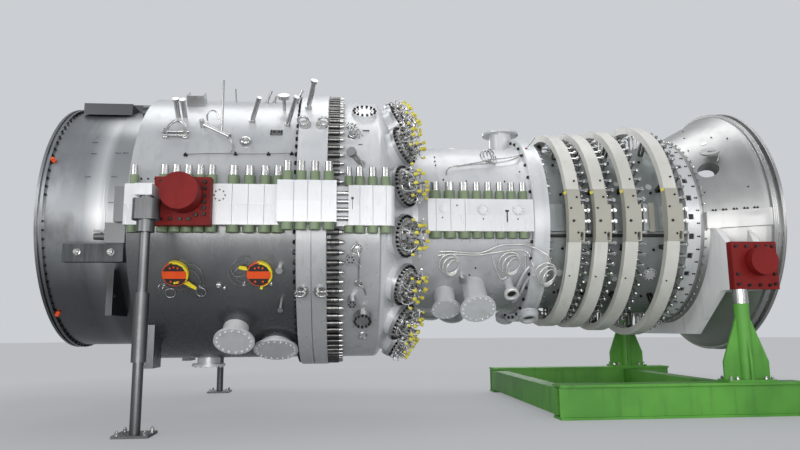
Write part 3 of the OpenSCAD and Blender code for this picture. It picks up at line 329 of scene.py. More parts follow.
def painted(name, colour, shade, dirt, metallic=0.0, gloss=(0.28, 0.5), streaks=0.35, wave=0.15,
            lower=None, zones=(), belt=None, shine=0.5):
    """Paint in two tones. `lower` is (tone, height, spread): below that height the paint blends to
    that tone, which is painted shade where it is darker and painted light from the floor where it
    is lighter. `belt` is (tone, low, high) for the part between two heights. `zones` are (axis,
    level, side): on that side of the level the paint is white, as on the joint flanges."""
    material, tree, shader, place = start_finish(name)
    shader.inputs["Metallic"].default_value = metallic
    shader.inputs["Specular IOR Level"].default_value = shine
    broad = noise_of(tree, place, 0.9, (1, 1, 1), 4, (-1100, 300))
    streak = noise_of(tree, place, 3.0, (2.2, 2.2, 0.25), 6, (-1100, 0))
    fine = noise_of(tree, place, 45.0, (1, 1, 1), 2, (-1100, -300))
    patches = band_of(tree, broad, 0.38, 0.62, (-900, 300))
    final = tone(tree, patches, srgb(*colour), srgb(*shade), (-650, 300))
    wet = band_of(tree, streak, 0.56, 0.78, (-900, 0))
    faint = sum_of(tree, wet, streaks, (-700, 0), "MULTIPLY")
    final = tone(tree, (faint, 0), final, srgb(*dirt), (-400, 200))
    if lower:
        high = above(tree, place, "Z", lower[1], 1, lower[2], (-900, 600))
        final = tone(tree, high, srgb(*lower[0]), final, (-300, 500))
    if belt:
        over, under = above(tree, place, "Z", belt[1]), above(tree, place, "Z", belt[2], -1)
        inside = sum_of(tree, over, under, (-500, 900), "MULTIPLY")
        final = tone(tree, (inside, 0), final, srgb(*belt[0]), (-250, 600))
    if zones:
        white = above(tree, place, *zones[0])
        for zone in zones[1:]:
            white = (sum_of(tree, white, above(tree, place, *zone), (-600, 700), "MAXIMUM"), 0)
        final = tone(tree, white, final, srgb(*WHITE_FACE), (-200, 400))
        metal = spread_of(tree, white, metallic, WHITE_FACE_METAL, (-400, 700))
        join(tree, metal, "Result", shader, "Metallic")
    dull = spread_of(tree, (streak, "Fac"), *gloss, (-650, -150))
    wire(tree, (*final, shader, "Base Color"), (dull, "Result", shader, "Roughness"))
    ripple(tree, shader, broad, fine, wave, 0.004)
    return material


# %% [markdown]
# Bare metal shows how it was made. Rolled plate has soft cloudy reflections, and a turned or
# ground face has fine lines round the shaft line. The lines come from noise on the angle round
# the shaft and the station along it, so they follow the barrel wherever it curves.

# %% A finish builder for bare metal


def round_shaft(tree, place, along, round_about):
    """Coordinates of (station, angle round the shaft), scaled."""
    split = add(tree, "ShaderNodeSeparateXYZ", (-1900, -200))
    join(tree, place, "Object", split, "Vector")
    height = sum_of(tree, (split, "Z"), SHAFT, (-1700, -300), "SUBTRACT")
    angle = sum_of(tree, (height, 0), (split, "Y"), (-1500, -300), "ARCTAN2")
    scaled = sum_of(tree, (angle, 0), round_about, (-1300, -300), "MULTIPLY")
    station = sum_of(tree, (split, "X"), along, (-1300, -100), "MULTIPLY")
    merged = add(tree, "ShaderNodeCombineXYZ", (-1100, -200))
    wire(tree, (station, 0, merged, "X"), (scaled, 0, merged, "Y"))
    return merged


def bare_metal(name, colour, shade, rough=(0.22, 0.42), along=60, round_about=2, stains=None,
               light_and_shade_bands=()):
    """Metal in two tones, lined with the second one. `stains` is the tone of its blots, and the
    bands are (zone, tone) pairs of painted light and shade, where a zone is what `above` takes."""
    material, tree, shader, place = start_finish(name)
    shader.inputs["Metallic"].default_value = 1.0
    turned = add(tree, "ShaderNodeTexNoise", (-900, -200), {"Scale": 1.0, "Detail": 4})
    join(tree, round_shaft(tree, place, along, round_about), 0, turned, "Vector")
    cloud = noise_of(tree, place, 1.3, (1, 1, 1), 5, (-1100, 300))
    clouded = band_of(tree, cloud, 0.35, 0.65, (-900, 300))
    base = tone(tree, clouded, srgb(*colour), srgb(*shade), (-600, 300))
    final = tone(tree, band_of(tree, turned, 0.3, 0.7, (-700, -100)), base, srgb(*shade), (-400, 200))
    if stains:
        blot = noise_of(tree, place, 2.2, (1, 1, 0.5), 6, (-1100, 600))
        blotted = band_of(tree, blot, 0.58, 0.72, (-900, 600))
        part = sum_of(tree, blotted, 0.6, (-700, 600), "MULTIPLY")
        final = tone(tree, (part, 0), final, srgb(*stains), (-200, 300))
    for zone, painted_band_tone in light_and_shade_bands:
        part = sum_of(tree, above(tree, place, *zone), 0.8, (-300, 500), "MULTIPLY")
        final = tone(tree, (part, 0), final, srgb(*painted_band_tone), (-100, 400))
    roughness = spread_of(tree, (cloud, "Fac"), *rough, (-500, -250))
    wire(tree, (*final, shader, "Base Color"), (roughness, "Result", shader, "Roughness"))
    ripple(tree, shader, turned, cloud, 0.12, 0.002)
    return material


# %% [markdown]
# The palette of this machine. Upper halves carry clean white-silver paint, lower halves the same
# paint with painted shade: darker, and on the turbine and the compressor darker still towards the
# floor, while the combustor's is painted lighter low down as painted light from the floor. Joint
# sleeves are sage green, lifting blocks red, stands leaf green. The setting rings are cream, with
# duller clamps at the joint plane, and the vane casing is slate grey. The joint flanges are white
# on both halves, which the zones give.

# %% The palette
EDGE = JOINT_HEIGHT + 0.0005
COMPRESSOR_EDGE = 0.2905
CLAMP_LOW, CLAMP_HIGH = SHAFT - 0.482, SHAFT + 0.472
WHITE_PAINT = painted("white_silver_paint", (214, 216, 219), (198, 201, 205), (150, 150, 148), 0.15,
                      (0.24, 0.46), 0.3)
UPPER_TURBINE = painted("upper_turbine_paint", (190, 193, 196), (174, 177, 181), (140, 141, 141), 0.3,
                        (0.24, 0.42), 0.35, zones=(("Z", SHAFT + EDGE, -1),))
# Painted shade: the lower halves are the white-silver paint made darker, and darker again below a height.
# The combustor's lower half is painted lighter below its height, as painted light from the floor.
LOWER_TURBINE_PAINTED_SHADE = painted("lower_turbine_painted_shade", (134, 136, 137), (112, 114, 115), (84, 81, 76), 0.7,
                        (0.16, 0.36), 0.55, lower=((96, 99, 101), 2.35, 0.6),
                        zones=(("Z", SHAFT - EDGE, 1),))
LOWER_COMBUSTOR_PAINTED_SHADE_AND_LIGHT = painted("lower_combustor_painted_shade_and_light", (182, 184, 186), (164, 166, 168), (120, 119, 116),
                          0.4, (0.2, 0.4), 0.4, lower=((200, 202, 204), 1.6, 0.6),
                          zones=(("Z", SHAFT - EDGE, 1), ("X", X_SHOULDER - 0.01, 1)))
LOWER_COMPRESSOR_PAINTED_SHADE = painted("lower_compressor_painted_shade", (202, 203, 207), (184, 186, 190), (140, 140, 138),
                           0.35, (0.2, 0.4), 0.35, lower=((134, 136, 137), 2.0, 0.45),
                           zones=(("Z", SHAFT - COMPRESSOR_EDGE, 1),))
FLANGE_PAINT = painted("flange_white_paint", (216, 218, 220), (198, 201, 204), (140, 140, 138), 0.25,
                       (0.25, 0.45), 0.25)
# Painted light: the cradle's white is a brighter copy of the flange white, lightening faces that look down
# and sideways.
CRADLE_PAINT = painted("cradle_white_painted_light", (236, 237, 238), (224, 225, 227), (140, 140, 138), 0.0,
                       (0.3, 0.5), 0.25)
CREAM_PAINT = painted("cream_paint", (212, 212, 207), (196, 196, 190), (140, 136, 124), 0.0,
                      (0.38, 0.6), 0.25, belt=((166, 165, 154), CLAMP_LOW, CLAMP_HIGH))
VANE_PAINT = painted("slate_casing_paint", (154, 160, 160), (130, 136, 137), (70, 72, 70), 0.35,
                     (0.3, 0.5), 0.5)
SAGE_PAINT = painted("sage_sleeve_paint", (121, 138, 108), (104, 121, 93), (66, 72, 56), 0.0,
                     (0.4, 0.6), 0.3)
RED_PAINT = painted("lifting_red_paint", (122, 20, 19), (104, 16, 15), (60, 14, 13), 0.0,
                    (0.5, 0.7), 0.35, shine=0.25)
GREEN_PAINT = painted("stand_green_paint", (88, 158, 56), (70, 136, 44), (40, 74, 30), 0.0,
                      (0.4, 0.62), 0.45)
ORANGE_PAINT = painted("cover_orange_paint", (226, 84, 24), (206, 66, 18), (120, 44, 18), 0.0,
                       (0.3, 0.5), 0.3)
YELLOW_PLASTIC = painted("yellow_plastic", (224, 214, 84), (208, 196, 66), (150, 138, 60), 0.0,
                         (0.3, 0.5), 0.15)
TAPE_YELLOW = painted("yellow_tape", (226, 212, 44), (210, 192, 34), (150, 130, 40), 0.0,
                      (0.35, 0.55), 0.2)
# Black for the rubber cushions, and also for painted shade: the pockets of the strut casing, the T-slot and
# the bar under the vane casing's joint flange.
BLACK_RUBBER_AND_PAINTED_SHADE = painted("black_rubber_and_painted_shade", (34, 33, 33), (24, 24, 25), (60, 56, 50), 0.0, (0.5, 0.7), 0.3)
BELL_METAL = painted("spun_bell_metal", (176, 177, 176), (156, 157, 157), (120, 120, 117), 0.9,
                     (0.36, 0.5), 0.2, 0.1)
BURNER_FACE = painted("burner_face_steel", (176, 178, 181), (136, 138, 141), (84, 82, 78), 0.55,
                      (0.24, 0.42), 0.5)
BRIGHT_NUT = painted("bright_nut_steel", (232, 232, 229), (206, 206, 204), (150, 150, 147), 0.45,
                     (0.16, 0.3), 0.2)
# Painted light and shade on the exhaust steel: a much lighter band from x -5.5 to -5.28 is a painted
# highlight on the ground metal beside the weld seam. Above z 4.95 the steel is darker as a painted dark
# reflection, and below z 2.75 it is darker as painted shade near the floor.
EXHAUST_STEEL = bare_metal("rolled_exhaust_steel_painted_light_and_shade", (186, 189, 191), (158, 161, 164), (0.24, 0.4), 9, 5,
                           (108, 106, 104), ((("X", -5.5, 1, 0.12), (232, 233, 234)),
                                             (("X", -5.28, 1, 0.08), (158, 160, 162)),
                                             (("Z", 4.95, 1, 0.4), (98, 100, 103)),
                                             (("Z", 2.75, -1, 0.6), (96, 98, 100))))
STAND_STEEL = bare_metal("stand_steel", (118, 119, 120), (92, 93, 94), (0.3, 0.46), 60, 2)
# Painted light and shade by height: the bracket steel is lighter between SHAFT - 0.585 and SHAFT + 0.6,
# where its faces take the light, and dark above and below.
BRACKET_STEEL = bare_metal("bracket_steel_painted_light_and_shade", (88, 90, 92), (64, 66, 68), (0.3, 0.5), 20, 3,
                           (52, 48, 44), ((("Z", SHAFT - 0.585, 1, 0.004), (120, 122, 123)),
                                          (("Z", SHAFT + 0.6, 1, 0.004), (88, 90, 92))))
INNER_STEEL = bare_metal("dark_inner_steel", (104, 101, 97), (70, 68, 66), (0.36, 0.55), 60, 2,
                         (60, 52, 44))
MACHINED_STEEL = bare_metal("machined_steel", (214, 214, 212), (176, 176, 176), (0.18, 0.32), 120, 3)
BURNER_STEEL = bare_metal("burner_steel", (150, 149, 146), (84, 83, 82), (0.2, 0.4), 90, 8, (58, 56, 54))
DARK_BOLT = bare_metal("oiled_dark_bolt", (72, 71, 69), (44, 44, 44), (0.26, 0.46), 90, 8)
print("finishes made:", len(bpy.data.materials))

# %% [markdown]
# The model's faces come as loose triangles. Round barrels would show their facets in a glossy
# highlight, so a small Geometry Nodes tree welds the points, shades every face smooth, and keeps
# the edges sharp where two faces meet at more than thirty degrees. The mesh itself isn't touched.

# %% Smooth the model's round faces and give each node its finish
WELD_DISTANCE = 0.00005


def smooth_tree():
    tree = bpy.data.node_groups.new("smooth_round_faces", "GeometryNodeTree")
    sockets(tree, ("Geometry", "Geometry"), ("Sharp angle", "Float", math.radians(30)))
    entry = add(tree, "NodeGroupInput", (-600, 0))
    weld = add(tree, "GeometryNodeMergeByDistance", (-400, 0), {"Distance": WELD_DISTANCE})
    faces = add(tree, "GeometryNodeSetShadeSmooth", (-200, 0), domain="FACE")
    angle = add(tree, "GeometryNodeInputMeshEdgeAngle", (-400, -250))
    sharp = add(tree, "FunctionNodeCompare", (-200, -250), data_type="FLOAT", operation="GREATER_THAN")
    edges = add(tree, "GeometryNodeSetShadeSmooth", (0, 0), {"Shade Smooth": False}, domain="EDGE")
    leave = add(tree, "NodeGroupOutput", (200, 0))
    wire(tree, (entry, "Geometry", weld, "Geometry"), (weld, "Geometry", faces, "Geometry"),
         (faces, "Geometry", edges, "Geometry"), (angle, "Unsigned Angle", sharp, 0),
         (entry, "Sharp angle", sharp, 1), (sharp, "Result", edges, "Selection"),
         (edges, "Geometry", leave, "Geometry"))
    return tree


NODE_FINISHES = (
    (EXHAUST_STEEL, "exhaust_casing exhaust_struts"),
    (BRACKET_STEEL, "exhaust_brackets"),
    (INNER_STEEL, "exhaust_hub turbine_blades ring_rollers inlet_hub"),
    (UPPER_TURBINE, "turbine_casing_upper"),
    (LOWER_TURBINE_PAINTED_SHADE, "turbine_casing_lower"),
    (WHITE_PAINT, "middle_flange_upper combustor_casing_upper compressor_casing_upper"),
    (LOWER_COMBUSTOR_PAINTED_SHADE_AND_LIGHT, "middle_flange_lower combustor_casing_lower"),
    (LOWER_COMPRESSOR_PAINTED_SHADE, "compressor_casing_lower"),
    (MACHINED_STEEL, "middle_flange_studs joint_studs casing_fittings burner_stems"),
    (MACHINED_STEEL, "vane_levers_1 vane_levers_2 vane_levers_3 vane_levers_4"),
    (MACHINED_STEEL, "inlet_guide_vanes jack_posts"),
    (STAND_STEEL, "exhaust_columns"),
    (SAGE_PAINT, "joint_sleeves joint_caps"),
    (BURNER_FACE, "burner_flanges"),
    (YELLOW_PLASTIC, "burner_caps"),
    (FLANGE_PAINT, "compressor_end_flange strut_casing casing_nozzles manhole_covers column_arms"),
    (CRADLE_PAINT, "inlet_cradle"),
    (VANE_PAINT, "vane_casing"),
    (CREAM_PAINT, "vane_ring_1 vane_ring_2 vane_ring_3 vane_ring_4"),
    (BELL_METAL, "inlet_bell_upper inlet_bell_lower inlet_struts"),
    (RED_PAINT, "lifting_trunnions inlet_trunnions"),
    (GREEN_PAINT, "pedestals base_frame"),
    (ORANGE_PAINT, "access_covers"),
)
SMOOTH = smooth_tree()
dressed = 0
for finish, names in NODE_FINISHES:
    for name in names.split():
        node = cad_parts[name]
        node.data.materials.clear()
        node.data.materials.append(finish)
        node.modifiers.new("smooth round faces", "NODES").node_group = SMOOTH
        dressed += 1
print("nodes dressed:", dressed, "of", len(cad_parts))

# %% [markdown]
# Places on a machine like this are easiest to say as a station along the shaft, an angle above
# the near side, and a distance from the shaft line. A mark holds such a place, the way a part
# stands there, and its size. `lean` tips the part from straight out towards the inlet, so a lean
# of 90 degrees looks along the shaft. Most things are there twice, once on each side.

# %% Marks: places, directions and sizes
ACROSS = Matrix.Scale(-1, 3, (0, 1, 0))


def around(x, angle, radius):
    a = math.radians(angle)
    return Vector((x, -radius * math.cos(a), SHAFT + radius * math.sin(a)))


def polar(radius, angle, height=0.0):
    """A point above a plane, from a radius and an angle in that plane."""
    a = math.radians(angle)
    return (radius * math.cos(a), radius * math.sin(a), height)


def stance(angle, lean=0.0, spin=0.0):
    """The turn of a part whose own Z stands out from the shaft at an angle."""
    out, tip, twist = (math.radians(a) for a in (90 - angle, lean, spin))
    return Matrix.Rotation(out, 3, "X") @ Matrix.Rotation(tip, 3, "Y") @ Matrix.Rotation(twist, 3, "Z")


def mark(place, turn, size):
    return (Vector(place), turn.to_euler(), size)


def on_barrel(x, angle, radius, size, lean=0.0, spin=0.0):
    return mark(around(x, angle, radius), stance(angle, lean, spin), size)


def on_side(x, y, z, size):
    """A part that points out of an upright side face; z is measured from the shaft line."""
    return mark((x, -y, SHAFT + z), stance(0), size)


def on_top(x, y, z, size):
    return mark((x, -y, SHAFT + z), stance(90), size)


def both_sides(marks):
    """The marks and their mirror images across the middle plane."""
    far = [(ACROSS @ place, (ACROSS @ turn.to_matrix() @ ACROSS).to_euler(), size)
           for place, turn, size in marks]
    return marks + far


def circle_of(centre, turn, radius, count, size, first=0.0):
    """Marks on a bolt circle whose own plane is given by a turn."""
    return [mark(Vector(centre) + turn @ Vector(polar(radius, first + 360 * k / count)), turn, size)
            for k in range(count)]


def flange_circle(x, angle, top, radius, count, size, first=0.0):
    """A bolt circle on a round flange of a barrel, `top` from the shaft line."""
    return circle_of(around(x, angle, top), stance(angle), radius, count, size, first)


def ring_of(count, x, radius, size, lean=0.0, first=0.5, clear=0.0):
    """Marks round the shaft line, apart from those within `clear` degrees of the joint plane."""
    marks = []
    for k in range(count):
        angle = 360 * (k + first) / count
        if abs(math.degrees(math.asin(math.sin(math.radians(angle))))) >= clear:
            marks.append(on_barrel(x, angle, radius, size, lean))
    return marks


def clear_of_joint(marks, height):
    """The marks that are more than `height` away from the joint plane."""
    return [m for m in marks if abs(m[0].z - SHAFT) > height]


# %% [markdown]
# Fasteners are made once, one metre wide, as a stack of rings of points, and the marks scale
# them. A few dozen faces are enough, because hundreds of copies follow. Flat shapes are plates
# cut to an outline, and blocks get a narrow bevel, which is enough to catch the light.

# %% Fastener shapes
FORMS = []


def lathe(form, outline, sides, spin=0.0, centre=(0, 0)):
    """A closed solid of revolution from (radius, height) points; radius 0 closes an end."""
    rings = []
    for radius, height in outline:
        if radius == 0:
            rings.append([form.verts.new((centre[0], centre[1], height))])
            continue
        rings.append([form.verts.new((centre[0] + radius * math.cos(spin + math.tau * k / sides),
                                      centre[1] + radius * math.sin(spin + math.tau * k / sides), height))
                      for k in range(sides)])
    for low, high in zip(rings, rings[1:]):
        for k in range(sides):
            n = (k + 1) % sides
            corners = [low[k % len(low)], low[n % len(low)], high[n % len(high)], high[k % len(high)]]
            form.faces.new(list(dict.fromkeys(corners)))


def stub(form, radius, low, high, sides, spin=0.0, centre=(0, 0)):
    """A plain round or many-sided stub between two heights."""
    lathe(form, [(0, low), (radius, low), (radius, high), (0, high)], sides, spin, centre)


def plate(form, outline, low, high):
    """A flat plate from an outline of (x, y) points, between two heights."""
    under = [form.verts.new((x, y, low)) for x, y in outline]
    over = [form.verts.new((x, y, high)) for x, y in outline]
    form.faces.new(under[::-1])
    form.faces.new(over)
    for k in range(len(outline)):
        n = (k + 1) % len(outline)
        form.faces.new((under[k], under[n], over[n], over[k]))


def shape_of(name, build):
    """A template from a function that builds it; all templates are removed at the end."""
    form = bmesh.new()
    build(form)
    bmesh.ops.recalc_face_normals(form, faces=form.faces)
    FORMS.append(object_of(name, form))
    return FORMS[-1]


def template(name, *parts):
    """A turned template: each part is (outline, sides)."""
    def build(form):
        for outline, sides in parts:
            lathe(form, outline, sides, math.pi / sides)
        bmesh.ops.remove_doubles(form, verts=form.verts, dist=1e-5)
    return shape_of(name, build)


def blocks(name, boxes, bevel=0.004):
    """A template made of bevelled blocks, each given by its low and high corners."""
    form = bmesh.new()
    for low, high in boxes:
        made = bmesh.ops.create_cube(form, size=1)["verts"]
        size, middle = Vector(high) - Vector(low), (Vector(low) + Vector(high)) / 2
        placed = Matrix.Translation(middle) @ Matrix.Diagonal((*size, 1))
        bmesh.ops.transform(form, verts=made, matrix=placed)
    bmesh.ops.bevel(form, geom=form.edges[:], offset=bevel, segments=1, affect="EDGES")
    FORMS.append(object_of(name, form))
    return FORMS[-1]


WASHER = ([(0, 0), (0.66, 0), (0.66, 0.1), (0, 0.1)], 12)
HEX_BOLT = template(
    "hex_bolt", WASHER, ([(0, 0.08), (0.577, 0.08), (0.577, 0.62), (0.5, 0.7), (0, 0.7)], 6))
NUT_ON_STUD = template(
    "nut_on_stud", WASHER, ([(0, 0.08), (0.577, 0.08), (0.577, 0.78), (0.5, 0.86), (0, 0.86)], 6),
    ([(0, 0.8), (0.3, 0.8), (0.3, 1.24), (0.24, 1.3), (0, 1.3)], 10))
SOCKET_BOLT = template(
    "socket_bolt", ([(0, 0), (0.5, 0), (0.5, 0.5), (0.45, 0.56), (0.26, 0.56), (0.26, 0.3), (0, 0.3)], 12))
ROUND_COVER = template(
    "round_cover", ([(0, 0), (0.5, 0), (0.5, 0.09), (0.485, 0.11), (0.36, 0.11), (0.34, 0.13),
                     (0, 0.13)], 32))
DOMED_BOSS = template(
    "domed_boss", ([(0, 0), (0.5, 0), (0.5, 0.16), (0.46, 0.3), (0.34, 0.42), (0.2, 0.46), (0.2, 0.3),
                    (0, 0.3)], 20))
PIPE_END = template(
    "pipe_end", ([(0, 0), (0.5, 0), (0.5, 0.1), (0.3, 0.12), (0.3, 0.62), (0.42, 0.64), (0.42, 0.8),
                  (0.22, 0.8), (0.22, 0.55), (0, 0.55)], 16))
print("fastener faces:", [len(shape.data.polygons) for shape in FORMS])

# %% [markdown]
# One Geometry Nodes tree puts a part on every mark. The marks are loose points whose turn and
# size are stored as attributes, so the tree only reads them, places the part, makes the copies
# real and gives them their finish. A small random spin, from a fixed seed, keeps a row of hex
# heads from looking stamped, because no fitter stops every nut at the same angle.

# %% The tree that puts parts on marks
SPIN_SEED = 7


def parts_tree():
    tree = bpy.data.node_groups.new("parts_on_marks", "GeometryNodeTree")
    sockets(tree, ("Marks", "Geometry"), ("Part", "Object"), ("Size", "Float", 1.0),
            ("Spin", "Float", 0.0), ("Seed", "Int", SPIN_SEED), ("Finish", "Material"))
    entry = add(tree, "NodeGroupInput", (-900, 0))
    part = add(tree, "GeometryNodeObjectInfo", (-600, -200))
    turn = add(tree, "GeometryNodeInputNamedAttribute", (-900, -300), data_type="FLOAT_VECTOR")
    turn.inputs["Name"].default_value = "turn"
    euler = add(tree, "FunctionNodeEulerToRotation", (-700, -400))
    spread = add(tree, "FunctionNodeRandomValue", (-900, -550), data_type="FLOAT")
    about = add(tree, "ShaderNodeCombineXYZ", (-700, -600))
    spin = add(tree, "FunctionNodeEulerToRotation", (-550, -600))
    final = add(tree, "FunctionNodeRotateRotation", (-350, -400), rotation_space="LOCAL")
    wide = add(tree, "GeometryNodeInputNamedAttribute", (-700, -750), data_type="FLOAT")
    wide.inputs["Name"].default_value = "size"
    scale = sum_of(tree, (wide, "Attribute"), 1.0, (-500, -750), "MULTIPLY")
    copies = add(tree, "GeometryNodeInstanceOnPoints", (-100, 0))
    real = add(tree, "GeometryNodeRealizeInstances", (100, 0))
    coat = add(tree, "GeometryNodeSetMaterial", (300, 0))
    leave = add(tree, "NodeGroupOutput", (500, 0))
    wire(tree, (entry, "Marks", copies, "Points"), (entry, "Part", part, "Object"),
         (part, "Geometry", copies, "Instance"), (turn, "Attribute", euler, "Euler"),
         (entry, "Spin", spread, "Max"), (entry, "Seed", spread, "Seed"), (spread, 1, about, "Z"),
         (about, 0, spin, "Euler"), (euler, "Rotation", final, "Rotation"),
         (spin, "Rotation", final, "Rotate By"), (final, "Rotation", copies, "Rotation"),
         (entry, "Size", scale, 1), (scale, 0, copies, "Scale"),
         (copies, "Instances", real, "Geometry"), (real, "Geometry", coat, "Geometry"),
         (entry, "Finish", coat, "Material"), (coat, "Geometry", leave, "Geometry"))
    return tree


def grow(name, mesh, tree, settings):
    """Runs a tree on a mesh and returns the result as a plain mesh."""
    holder = bpy.data.objects.new(name + "_seed", mesh)
    bpy.context.scene.collection.objects.link(holder)
    modifier = holder.modifiers.new("grow", "NODES")
    modifier.node_group = tree
    for socket in tree.interface.items_tree:
        if socket.item_type == "SOCKET" and socket.in_out == "INPUT" and socket.name in settings:
            modifier[socket.identifier] = settings[socket.name]
    depsgraph = bpy.context.evaluated_depsgraph_get()
    result = bpy.data.meshes.new_from_object(holder.evaluated_get(depsgraph), depsgraph=depsgraph)
    bpy.data.objects.remove(holder)
    return result


def keep(name, mesh, body, sharp):
    """Makes a finished mesh a piece that rides on a body."""
    mesh.name = name
    mesh.shade_smooth()
    mesh.set_sharp_from_angle(angle=math.radians(sharp))
    piece = bpy.data.objects.new(name, mesh)
    bpy.context.scene.collection.objects.link(piece)
    if body:
        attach(piece, body)
    print(name, len(mesh.polygons), "faces")
    return piece


def marks_mesh(marks):
    mesh = bpy.data.meshes.new("marks")
    mesh.from_pydata([place for place, turn, size in marks], [], [])
    turns = mesh.attributes.new("turn", "FLOAT_VECTOR", "POINT")
    turns.data.foreach_set("vector", [c for place, turn, size in marks for c in turn])
    sizes = mesh.attributes.new("size", "FLOAT", "POINT")
    sizes.data.foreach_set("value", [size for place, turn, size in marks])
    return mesh


PARTS_ON_MARKS = parts_tree()


def set_parts(name, part, marks, finish, spin=0.0, body="machine"):
    """One piece: a part on every mark, turned at random by up to `spin`."""
    settings = {"Part": part, "Spin": spin, "Seed": SPIN_SEED, "Finish": finish}
    mesh = grow(name, marks_mesh(marks), PARTS_ON_MARKS, settings)
    return keep(name, mesh, body, 35)


# %% [markdown]
# Pipes, rings and weld beads are a round section that follows a path. The second tree turns a
# line of points into a curve, rounds its corners, sweeps a circle along it and closes the ends.

# %% The tree that sweeps a pipe along a path


def pipe_tree():
    tree = bpy.data.node_groups.new("pipe_along_path", "GeometryNodeTree")
    sockets(tree, ("Path", "Geometry"), ("Radius", "Float", 0.01), ("Sides", "Int", 8),
            ("Steps", "Int", 4), ("Finish", "Material"))
    entry = add(tree, "NodeGroupInput", (-800, 0))
    curve = add(tree, "GeometryNodeMeshToCurve", (-600, 0))
    kind = add(tree, "GeometryNodeCurveSplineType", (-400, 0), spline_type="CATMULL_ROM")
    steps = add(tree, "GeometryNodeSetSplineResolution", (-200, 0))
    ring = add(tree, "GeometryNodeCurvePrimitiveCircle", (-200, -250))
    sweep = add(tree, "GeometryNodeCurveToMesh", (0, 0), {"Fill Caps": True})
    real = add(tree, "GeometryNodeRealizeInstances", (200, 0))
    coat = add(tree, "GeometryNodeSetMaterial", (400, 0))
    leave = add(tree, "NodeGroupOutput", (600, 0))
    wire(tree, (entry, "Path", curve, "Mesh"), (curve, "Curve", kind, "Curve"),
         (kind, "Curve", steps, "Geometry"), (entry, "Steps", steps, "Resolution"),
         (entry, "Radius", ring, "Radius"), (entry, "Sides", ring, "Resolution"),
         (steps, "Geometry", sweep, "Curve"), (ring, "Curve", sweep, "Profile Curve"),
         (sweep, "Mesh", real, "Geometry"), (real, "Geometry", coat, "Geometry"),
         (entry, "Finish", coat, "Material"), (coat, "Geometry", leave, "Geometry"))
    return tree


PIPE_ALONG_PATH = pipe_tree()


def paths_mesh(paths):
    """Paths as loose edges; a path is (points, closed)."""
    points, edges = [], []
    for path, closed in paths:
        start = len(points)
        points += [tuple(p) for p in path]
        edges += [(start + k, start + k + 1) for k in range(len(path) - 1)]
        if closed:
            edges.append((start + len(path) - 1, start))
    mesh = bpy.data.meshes.new("paths")
    mesh.from_pydata(points, edges, [])
    return mesh


def set_pipes(name, paths, radius, finish, sides=8, steps=4):
    """One piece: a pipe along every path, with `steps` pieces between two points."""
    settings = {"Radius": radius, "Sides": sides, "Steps": steps, "Finish": finish}
    mesh = grow(name, paths_mesh(paths), PIPE_ALONG_PATH, settings)
    return keep(name, mesh, "machine", 50)


def mirrored(paths):
    """The paths and their mirror images on the far side."""
    return paths + [([Vector((p[0], -p[1], p[2])) for p in path], closed) for path, closed in paths]


def hoop(centre, turn, radius, count=16):
    """A closed ring; the turn says which way its axis looks."""
    steps = [math.tau * k / count for k in range(count)]
    return ([Vector(centre) + turn @ Vector((radius * math.cos(a), radius * math.sin(a), 0))
             for a in steps], True)


def on_turbine(*points):
    """A path of (station, angle, height) points on the turbine and combustor barrel."""
    return ([around(x, angle, R_TURBINE + height) for x, angle, height in points], False)


def on_compressor(*points):
    return ([around(x, angle, R_COMPRESSOR + height) for x, angle, height in points], False)


# %% [markdown]
# Each burner head is a steel flange crowded with fasteners and fuel fittings. Its dressing is
# listed once, as marks in the burner's own frame, and then copied to all sixteen heads. A head
# sits on the sloped shoulder, halfway between two sixteenths of the circle, and leans towards
# the inlet. Bright nuts, dark bolt heads and pipes are separate pieces, because each has its
# own finish.

# %% Burner heads: nuts, bolts and fittings
BURNERS, BURNER_LEAN = 16, 55
BURNER_X, BURNER_RADIUS = X_SHOULDER + 0.2696, 2.115
FLANGE_FACE, RING_FACE, DISC_FACE, CENTRE_FACE = 0.1905, 0.2255, 0.2795, 0.3155
STEM_TOP = 0.4756
UPRIGHT = Matrix.Identity(3)
burner_angles = [360 / BURNERS * (k + 0.5) for k in range(BURNERS)]
burner_seats = [(around(BURNER_X, angle, BURNER_RADIUS), stance(angle, BURNER_LEAN))
                for angle in burner_angles]


def at_burners(marks):
    """Copies marks given in one burner's frame to every burner."""
    return [mark(seat + turn @ place, turn @ lean.to_matrix(), size)
            for seat, turn in burner_seats for place, lean, size in marks]


def head_circle(face, radius, count, size, first=0.0):
    """A circle of marks on one of a burner head's faces."""
    return circle_of((0, 0, face), UPRIGHT, radius, count, size, first)


flange_nuts = head_circle(FLANGE_FACE, 0.342, 28, 0.036)
inner_bolts = head_circle(FLANGE_FACE, 0.288, 20, 0.026, 9)
ring_nuts = head_circle(RING_FACE, 0.236, 16, 0.03, 5) + head_circle(CENTRE_FACE, 0.066, 6, 0.028)
disc_bolts = head_circle(DISC_FACE, 0.132, 12, 0.03, 10)
set_parts("burner_flange_nuts", NUT_ON_STUD, at_burners(flange_nuts), DARK_BOLT, 1.0)
set_parts("burner_inner_bolts", HEX_BOLT, at_burners(inner_bolts), BRIGHT_NUT, 1.0)
set_parts("burner_ring_nuts", NUT_ON_STUD, at_burners(ring_nuts), BRIGHT_NUT, 1.0)
set_parts("burner_disc_bolts", SOCKET_BOLT, at_burners(disc_bolts), DARK_BOLT)

# %% [markdown]
# Eight fuel stems stand on each head. Every stem has a collar nut at its foot and a union halfway
# up, and every second one has another nut under its yellow shipping cap. They are all the same
# few shapes on other marks.

